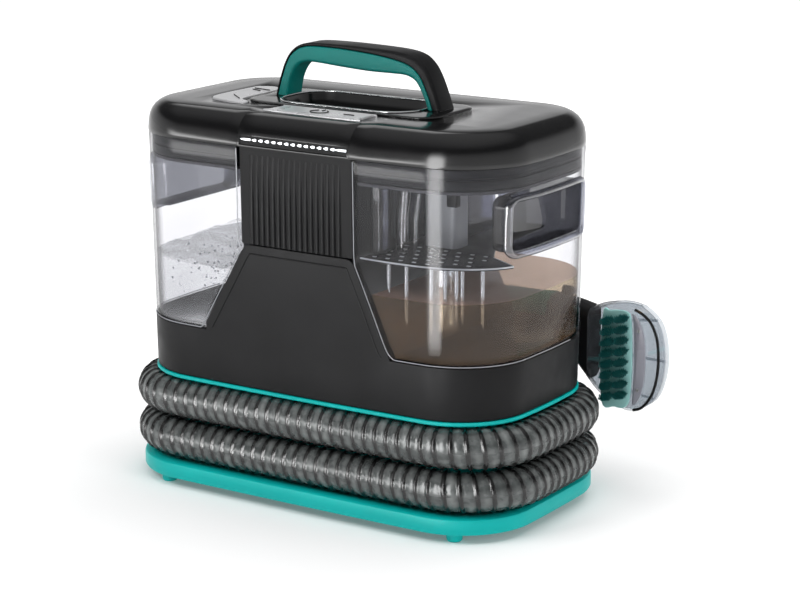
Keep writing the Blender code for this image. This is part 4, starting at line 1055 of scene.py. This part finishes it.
# pale plastic for the painted light in the strainer's holes
M["hole_painted_light"] = moulded("hole_painted_light_plastic", (0.75, 0.77, 0.80), 0.3, vary=0.1)
give(join(hole_painted_light, "strainer_hole_painted_light"), "hole_painted_light", "dirty_tank")
give(shelf, "tower", "dirty_tank", instead=("dirty_strainer",))
lip = [(x, y, 222.4) for x, y in shelf_pts[:33]]
give(sweep("strainer_lip", lip, 0.7, 8), "white", "dirty_tank")
tubes = [sweep("t", [(x, y, 220.6), (x, y, (220.6 + z1) / 2), (x, y, z1 + 5), (x + 0.6, y, z1)], lambda s, t: 1.7 - 1.2 * max(0.0, s - 0.5) / 0.5, 14)
         for x, y, z1 in ((100, -89, 172), (122, -87, 166), (133, -84, 184), (141, -80, 178), (144, -76, 176), (158, -68, 172), (84, -90, 196))]
give(join(tubes, "drip_rods"), "rods", "dirty_tank")
pipes = [sweep("t", [(x, y, 223.0), (x, y, 250.0), (x + lean, y, 283.5)], r, 20) for x, y, r, lean in ((70, -74, 3.0, 0), (82, -66, 4.6, 3), (90, -60, 2.0, 5))]
give(join(pipes, "air_pipes"), "clear", "dirty_tank")
column = skin("float_column", [rounded(15, 11, 4, 223.4, 5, cx=96, cy=-22, side=2), rounded(15, 11, 4, 281.0, 5, cx=96, cy=-22, side=2)])
give(column, "white", "dirty_tank")
give(lump("float_window", (103, 112.2), (-34.2, -27.0), (258, 276), 0.8), "tower", "dirty_tank")
inner = [lump("a", (62, 74), (-86, -62), (224, 283), 3.0), lump("a", (60.5, 66), (-50, 86), (224, 283), 1.5), lump("a", (118, 134), (20, 44), (223, 283), 3.0)]
give(join(inner, "inner_ducts"), "duct", "dirty_tank")

# ==================================================================== hand tool
NECK = [(118.4, 113.2, 142.8, 122.0, 154.0, 14.2), (124.0, 113.0, 143.0, 118.0, 154.2, 14.4), (130.0, 113.0, 143.0, 111.0, 154.0, 14.0), (136.0, 113.4, 142.6, 103.0, 153.2, 13.0),
        (142.0, 114.0, 142.0, 96.0, 152.0, 12.0), (148.0, 114.8, 141.4, 89.5, 150.4, 10.5), (153.0, 115.5, 141.0, 84.5, 149.0, 9.0)]


def standing(x, y0, y1, z0, z1, r):
    hy, hz, my, mz = (y1 - y0) / 2, (z1 - z0) / 2, (y0 + y1) / 2, (z0 + z1) / 2
    return [(x, my + q[0], mz + q[1]) for q in rounded(hy, hz, min(r, hy - 0.2, hz - 0.2), 0.0, 8, side=4)]


neck = skin("nozzle_neck", [standing(*s) for s in NECK], angle=45)
give(neck, "black", instead=("tool_neck",))
NECK_EDGE = [(151.0, 86.0), (151.0, 101.0), (151.0, 116.5), (151.0, 132.0), (151.0, 147.5)]
MOUTH_EDGE = [(198.0, 62.7), (219.0, 78.0), (227.5, 110.0), (221.5, 142.5), (202.0, 159.0)]
LOW_SIDE = [(151.0, 86.0), (160.0, 75.5), (172.0, 66.8), (186.0, 62.3), (198.0, 62.7)]
HIGH_SIDE = [(151.0, 147.5), (162.0, 153.0), (176.0, 157.0), (190.0, 159.4), (202.0, 159.0)]


def on(points, t):
    line_ = catmull([Vector((x, z, 0)) for x, z in points], 10)
    k = t * (len(line_) - 1)
    i = min(int(k), len(line_) - 2)
    return line_[i].lerp(line_[i + 1], k - i)


def fan(u, v):
    """A point of the fan-shaped hood, u from neck to mouth and v from its lower to its upper side."""
    c1 = on(NECK_EDGE, v) * (1 - u) + on(MOUTH_EDGE, v) * u
    c2 = on(LOW_SIDE, u) * (1 - v) + on(HIGH_SIDE, u) * v
    c3 = (on(NECK_EDGE, 0) * (1 - v) + on(NECK_EDGE, 1) * v) * (1 - u) + (on(MOUTH_EDGE, 0) * (1 - v) + on(MOUTH_EDGE, 1) * v) * u
    return c1 + c2 - c3


rows = []
U, Vn = 18, 18
for iu in range(U + 1):
    u = iu / U
    row = []
    y0, y1 = 116.7, 140.6 - 15.5 * u
    mid = (y0 + y1) / 2
    half = (y1 - y0) / 2
    for iv in range(Vn + 1):
        v = iv / Vn
        p = fan(u, v)
        e = min(1.0, math.sin(math.pi * min(max(v, 0.0), 1.0)) * 4.0) ** 0.5
        row.append((p.x, mid - half * e, p.y))
    for iv in range(Vn - 1, 0, -1):
        v = iv / Vn
        p = fan(u, v)
        e = min(1.0, math.sin(math.pi * v) * 4.0) ** 0.5
        row.append((p.x, mid + half * e, p.y))
    rows.append(row)
hood = skin("suction_hood", rows, caps=False, angle=50)
add(hood, "SOLIDIFY", thickness=1.8 * MM, offset=-1.0)
bake(hood, 50)
give(hood, "hood", instead=("nozzle_hood",))
rim_line = [(197.5, 153.2), (206.0, 149.5), (213.4, 142.7), (219.0, 130.0), (220.8, 113.2), (219.5, 95.0), (214.5, 79.0), (206.0, 68.0), (198.0, 64.6)]
rim_path = [(p.x, 117.6, p.y) for p in catmull([Vector((x, z, 0)) for x, z in rim_line], 6)]
give(sweep("mouth_rim", rim_path, 1.25, 10), "black")
ribs = []
for v in (0.22, 0.5, 0.78):
    pts = [fan(u, v) for u in (0.42, 0.6, 0.8, 0.93)]
    ribs.append(sweep("r", [(p.x, 124.5, p.y) for p in pts], 1.2, 8))
give(join(ribs, "hood_ribs"), "hood")
plate_line = [(168.6, 71.0), (182.0, 66.0), (192.5, 67.4), (196.6, 80.0), (197.5, 110.0), (195.8, 144.0), (190.5, 151.6), (176.0, 150.6), (168.6, 145.0)]
plate_pts = [(p.x, p.y) for p in catmull([Vector((x, z, 0)) for x, z in plate_line], 5, closed=True)]
brush = slab("brush_plate", plate_pts, "y", 113.4, 116.2)
ease(brush, 0.7, 2, 40.0)
M["aqua"] = moulded("aqua_plate", (0.33, 0.62, 0.60), 0.35, vary=0.08, spec=0.3)
give(brush, "aqua", instead=("scrub_brush",))
bm = bmesh.new()
for i in range(8):
    for j in range(2):
        x, z = 173.6 + j * 13.4, 73.4 + i * 9.6 + j * 3.4
        for k in range(60):
            a, rad = k * 2.39996, 4.5 * math.sqrt((k + 0.5) / 60)
            u, v = rad * math.cos(a) * 1.55, rad * math.sin(a) * 0.72
            fx, fz = x + u * 0.93 - v * 0.37, z + u * 0.37 + v * 0.93
            reach = 8.6 - 1.6 * (rad / 4.5) ** 2
            start = w(fx, 113.6, fz)
            end = w(fx + 3.6 + 0.25 * rad * math.cos(a) + rng.uniform(-0.35, 0.35), 113.6 - reach, fz + 2.9 + 0.2 * rad * math.sin(a) + rng.uniform(-0.35, 0.35))
            d = end - start
            turn = d.to_track_quat("Z", "Y").to_matrix().to_4x4()
            bmesh.ops.create_cone(bm, cap_ends=True, segments=5, radius1=0.62 * MM, radius2=0.42 * MM, depth=d.length,
                                  matrix=Matrix.Translation((start + end) / 2) @ turn)
give(finish_mesh(bm, "brush_bristles", 60), "teal_dark")
lip_line = [(198.6, 70.5), (203.6, 74.0), (208.2, 87.0), (210.0, 110.0), (208.2, 132.0), (202.6, 145.6), (196.8, 150.4), (198.2, 142.0), (199.4, 110.0), (198.9, 84.0)]
lip = slab("mouth_lip", [(p.x, p.y) for p in catmull([Vector((x, z, 0)) for x, z in lip_line], 4, closed=True)], "y", 113.8, 115.6)
ease(lip, 0.5, 2, 40.0)
M["lilac"] = moulded("grey_lip", (0.30, 0.30, 0.345), 0.30, vary=0.10, spec=0.35)
give(lip, "lilac")
dots = []
for cx_, cz_ in ((203.6, 84.0), (203.4, 136.0)):
    dots.append(slab("d", [(cx_ + 1.5 * math.cos(math.radians(a)), cz_ + 1.5 * math.sin(math.radians(a))) for a in range(0, 360, 30)], "y", 113.2, 114.0))
give(join(dots, "lip_screws"), "steel")
handle = revolve("tool_grip", [(16.9, 48.6), (17.7, 49.4), (18.2, 52.0), (17.6, 56.0), (16.2, 61.0), (15.7, 70.0), (15.6, 80.0), (16.0, 92.0), (16.8, 102.0), (17.7, 111.0),
                               (17.9, 115.0), (17.7, 117.6), (17.0, 118.1)], (0, 128.0, 138.0), (1, 0, 0), 48)
ears = [handle, lump("e", (103.6, 114.2), (116.2, 119.0), (113.6, 129.0), 1.0), lump("e", (103.6, 114.2), (137.0, 139.8), (113.6, 129.0), 1.0)]
give(join(ears, "tool_body"), "black", instead=("tool_handle",))
bands = [revolve("b", [(16.6, 58.0), (17.2, 59.2), (16.5, 63.0), (16.2, 70.0), (16.1, 80.0), (16.5, 92.0), (17.3, 102.0), (18.1, 110.0), (18.3, 113.0), (17.9, 114.4)],
                 (0, 128.0, 138.0), (1, 0, 0), 48)]
for k in range(5):
    bands.append(revolve("b", [(16.6, 66.0 + 7 * k), (17.3, 67.4 + 7 * k), (17.3, 68.8 + 7 * k), (16.6, 70.2 + 7 * k)], (0, 128.0, 138.0), (1, 0, 0), 48))
give(join(bands, "tool_band"), "grip")
cuff = revolve("hose_cuff", [(18.1, 22.0), (19.4, 22.0), (20.2, 23.0), (20.4, 25.0), (20.4, 28.0), (19.8, 28.6), (19.8, 30.0), (20.4, 30.6), (20.4, 33.0), (19.8, 33.6), (19.8, 35.0),
                             (20.4, 35.6), (20.4, 41.0), (19.6, 45.0), (18.6, 47.6), (17.9, 48.0), (0.4, 48.0), (0.4, 36.2), (18.1, 36.0)],
               (0, 128.0, 138.0), (1, 0, 0), 48)
give(cuff, "black", instead=("hose_tool_cuff",))

# ============================================ CAD nodes that show as they are
KEEP = {
    "base_screw_front_left": "steel", "base_screw_front_right": "steel", "base_screw_rear_left": "steel", "base_screw_rear_right": "steel",
    "tank_deck": "black", "centre_tower": "tower", "power_switch": "black", "power_button_spring": "steel", "fan_housing": "black",
    "vacuum_motor": "steel", "pump": "white", "solution_line": "clear", "spray_feed_line": "clear", "control_board": "board",
    "exhaust_grille": "black", "cord_gland": "rubber", "hose_outlet_elbow": "black", "tool_dock": "black", "trigger_pin": "steel",
    "nozzle_latch": "black", "spray_tip": "black", "clean_tank_seal": "seal", "dirty_tank_seal": "seal", "clean_valve_seat": "white",
    "clean_valve_plunger": "rubber", "intake_duct": "duct", "separator_tube": "clear", "float_cage": "clear", "float_valve": "white",
    "impeller": "black", "trigger": "teal",
}
for node, key in KEEP.items():
    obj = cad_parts[node]
    obj.data.materials.clear()
    obj.data.materials.append(M[key])

# ===================================================================== the stage
def stage_piece(name, size_x, size_y, location, rotation):
    bm = bmesh.new()
    bmesh.ops.create_grid(bm, x_segments=1, y_segments=1, size=0.5, matrix=Matrix.Diagonal((size_x, size_y, 1.0, 1.0)))
    me = bpy.data.meshes.new(name)
    bm.to_mesh(me)
    bm.free()
    obj = bpy.data.objects.new(name, me)
    obj.location = location
    obj.rotation_euler = rotation
    scene.collection.objects.link(obj)
    mat = bpy.data.materials.new(name + "_paint")
    mat.use_nodes = True
    me.materials.append(mat)
    return obj, mat.node_tree


def chain(nt, kind, *inputs, **kw):
    n = nt.nodes.new(kind)
    for k, v in kw.items():
        setattr(n, k, v)
    for i, value in enumerate(inputs):
        if isinstance(value, bpy.types.NodeSocket):
            nt.links.new(value, n.inputs[i])
        elif value is not None:
            n.inputs[i].default_value = value
    return n


floor, nt = stage_piece("floor", 30.0, 30.0, (0, 0, -0.0002), (0, 0, 0))
b = nt.nodes["Principled BSDF"]
b.inputs["Base Color"].default_value = (0.86, 0.86, 0.86, 1.0)
b.inputs["Roughness"].default_value = 0.95
b.inputs["Specular IOR Level"].default_value = 0.0
b.inputs["Emission Color"].default_value = (1, 1, 1, 1)
tc = nt.nodes.new("ShaderNodeTexCoord")
far = chain(nt, "ShaderNodeVectorMath", tc.outputs["Object"], operation="LENGTH")
span = nt.nodes.new("ShaderNodeMapRange")
span.inputs["From Min"].default_value = 0.30
span.inputs["From Max"].default_value = 1.15
span.inputs["To Min"].default_value = 0.12
span.inputs["To Max"].default_value = 0.72
nt.links.new(far.outputs["Value"], span.inputs["Value"])
nt.links.new(span.outputs["Result"], b.inputs["Emission Strength"])

world = bpy.data.worlds.new("studio")
scene.world = world
world.use_nodes = True
nt = world.node_tree
bg = nt.nodes["Background"]
tc = nt.nodes.new("ShaderNodeTexCoord")
sep = nt.nodes.new("ShaderNodeSeparateXYZ")
ramp = nt.nodes.new("ShaderNodeValToRGB")
nt.links.new(tc.outputs["Generated"], sep.inputs[0])
nt.links.new(sep.outputs["Z"], ramp.inputs["Fac"])
els = ramp.color_ramp.elements
els[0].position, els[0].color = 0.0, (1.0, 1.0, 1.0, 1.0)
els[1].position, els[1].color = 1.0, (0.70, 0.70, 0.70, 1.0)
for at, v in ((0.10, 0.9), (0.24, 0.72), (0.40, 0.09), (0.60, 0.12), (0.82, 0.50)):
    e = els.new(at)
    e.color = (v, v, v * 1.01, 1.0)
nt.links.new(ramp.outputs["Color"], bg.inputs["Color"])
bg.inputs["Strength"].default_value = 0.9


def softbox(name, location, target, size_x, size_y, power, glossy=False):
    light = bpy.data.lights.new(name, "AREA")
    light.shape = "RECTANGLE"
    light.size, light.size_y = size_x, size_y
    light.energy = power
    obj = bpy.data.objects.new(name, light)
    obj.location = location
    obj.rotation_euler = (Vector(target) - Vector(location)).to_track_quat("-Z", "Y").to_euler()
    obj.visible_glossy = glossy
    scene.collection.objects.link(obj)


softbox("key", (-0.9, -1.5, 1.8), (0, 0, 0.15), 1.2, 1.0, 20.0)
softbox("fill", (2.0, -0.5, 0.9), (0.1, 0, 0.2), 0.9, 1.2, 10.0)
softbox("top", (0.1, 0.2, 1.9), (0, 0, 0.2), 1.8, 1.6, 24.0)
softbox("back", (0.2, 1.8, 1.0), (0.0, 0.0, 0.2), 1.6, 0.8, 12.0)


def card(name, location, target, size_x, size_y, strength):
    """A glowing card with soft edges, seen only in reflections."""
    obj, nt = stage_piece(name, size_x, size_y, location, (Vector(target) - Vector(location)).to_track_quat("-Z", "Y").to_euler())
    nt.nodes.remove(nt.nodes["Principled BSDF"])
    out = nt.nodes["Material Output"]
    tc = nt.nodes.new("ShaderNodeTexCoord")
    sep = chain(nt, "ShaderNodeSeparateXYZ", tc.outputs["Object"])
    fades = []
    for axis, half in (("X", size_x / 2), ("Y", size_y / 2)):
        a = chain(nt, "ShaderNodeMath", sep.outputs[axis], operation="ABSOLUTE")
        m = nt.nodes.new("ShaderNodeMapRange")
        m.interpolation_type = "SMOOTHSTEP"
        m.inputs["From Min"].default_value = half * 0.35
        m.inputs["From Max"].default_value = half
        m.inputs["To Min"].default_value = 1.0
        m.inputs["To Max"].default_value = 0.0
        nt.links.new(a.outputs[0], m.inputs["Value"])
        fades.append(m.outputs["Result"])
    both = chain(nt, "ShaderNodeMath", fades[0], fades[1], operation="MULTIPLY")
    glow = chain(nt, "ShaderNodeMath", both.outputs[0], strength, operation="MULTIPLY")
    em = nt.nodes.new("ShaderNodeEmission")
    nt.links.new(glow.outputs[0], em.inputs["Strength"])
    clear = nt.nodes.new("ShaderNodeBsdfTransparent")
    mix = nt.nodes.new("ShaderNodeMixShader")
    nt.links.new(both.outputs[0], mix.inputs["Fac"])
    nt.links.new(clear.outputs[0], mix.inputs[1])
    nt.links.new(em.outputs[0], mix.inputs[2])
    nt.links.new(mix.outputs[0], out.inputs["Surface"])
    obj.visible_camera = False
    obj.visible_diffuse = False
    obj.visible_shadow = False
    obj.visible_transmission = False


card("corner_card", (0.02, -1.45, 0.10), (0.11, -0.06, 0.20), 0.80, 1.5, 22.0)
card("streak_card", (0.075, -0.46, 0.20), (0.11, -0.06, 0.20), 0.22, 0.66, 12.0)
card("band_card", (-0.87, -1.34, 0.27), (0, 0, 0.30), 1.9, 0.42, 9.0)
card("top_card", (-1.0, 0.9, 1.5), (-0.1, 0.0, 0.33), 1.3, 1.0, 1.6)
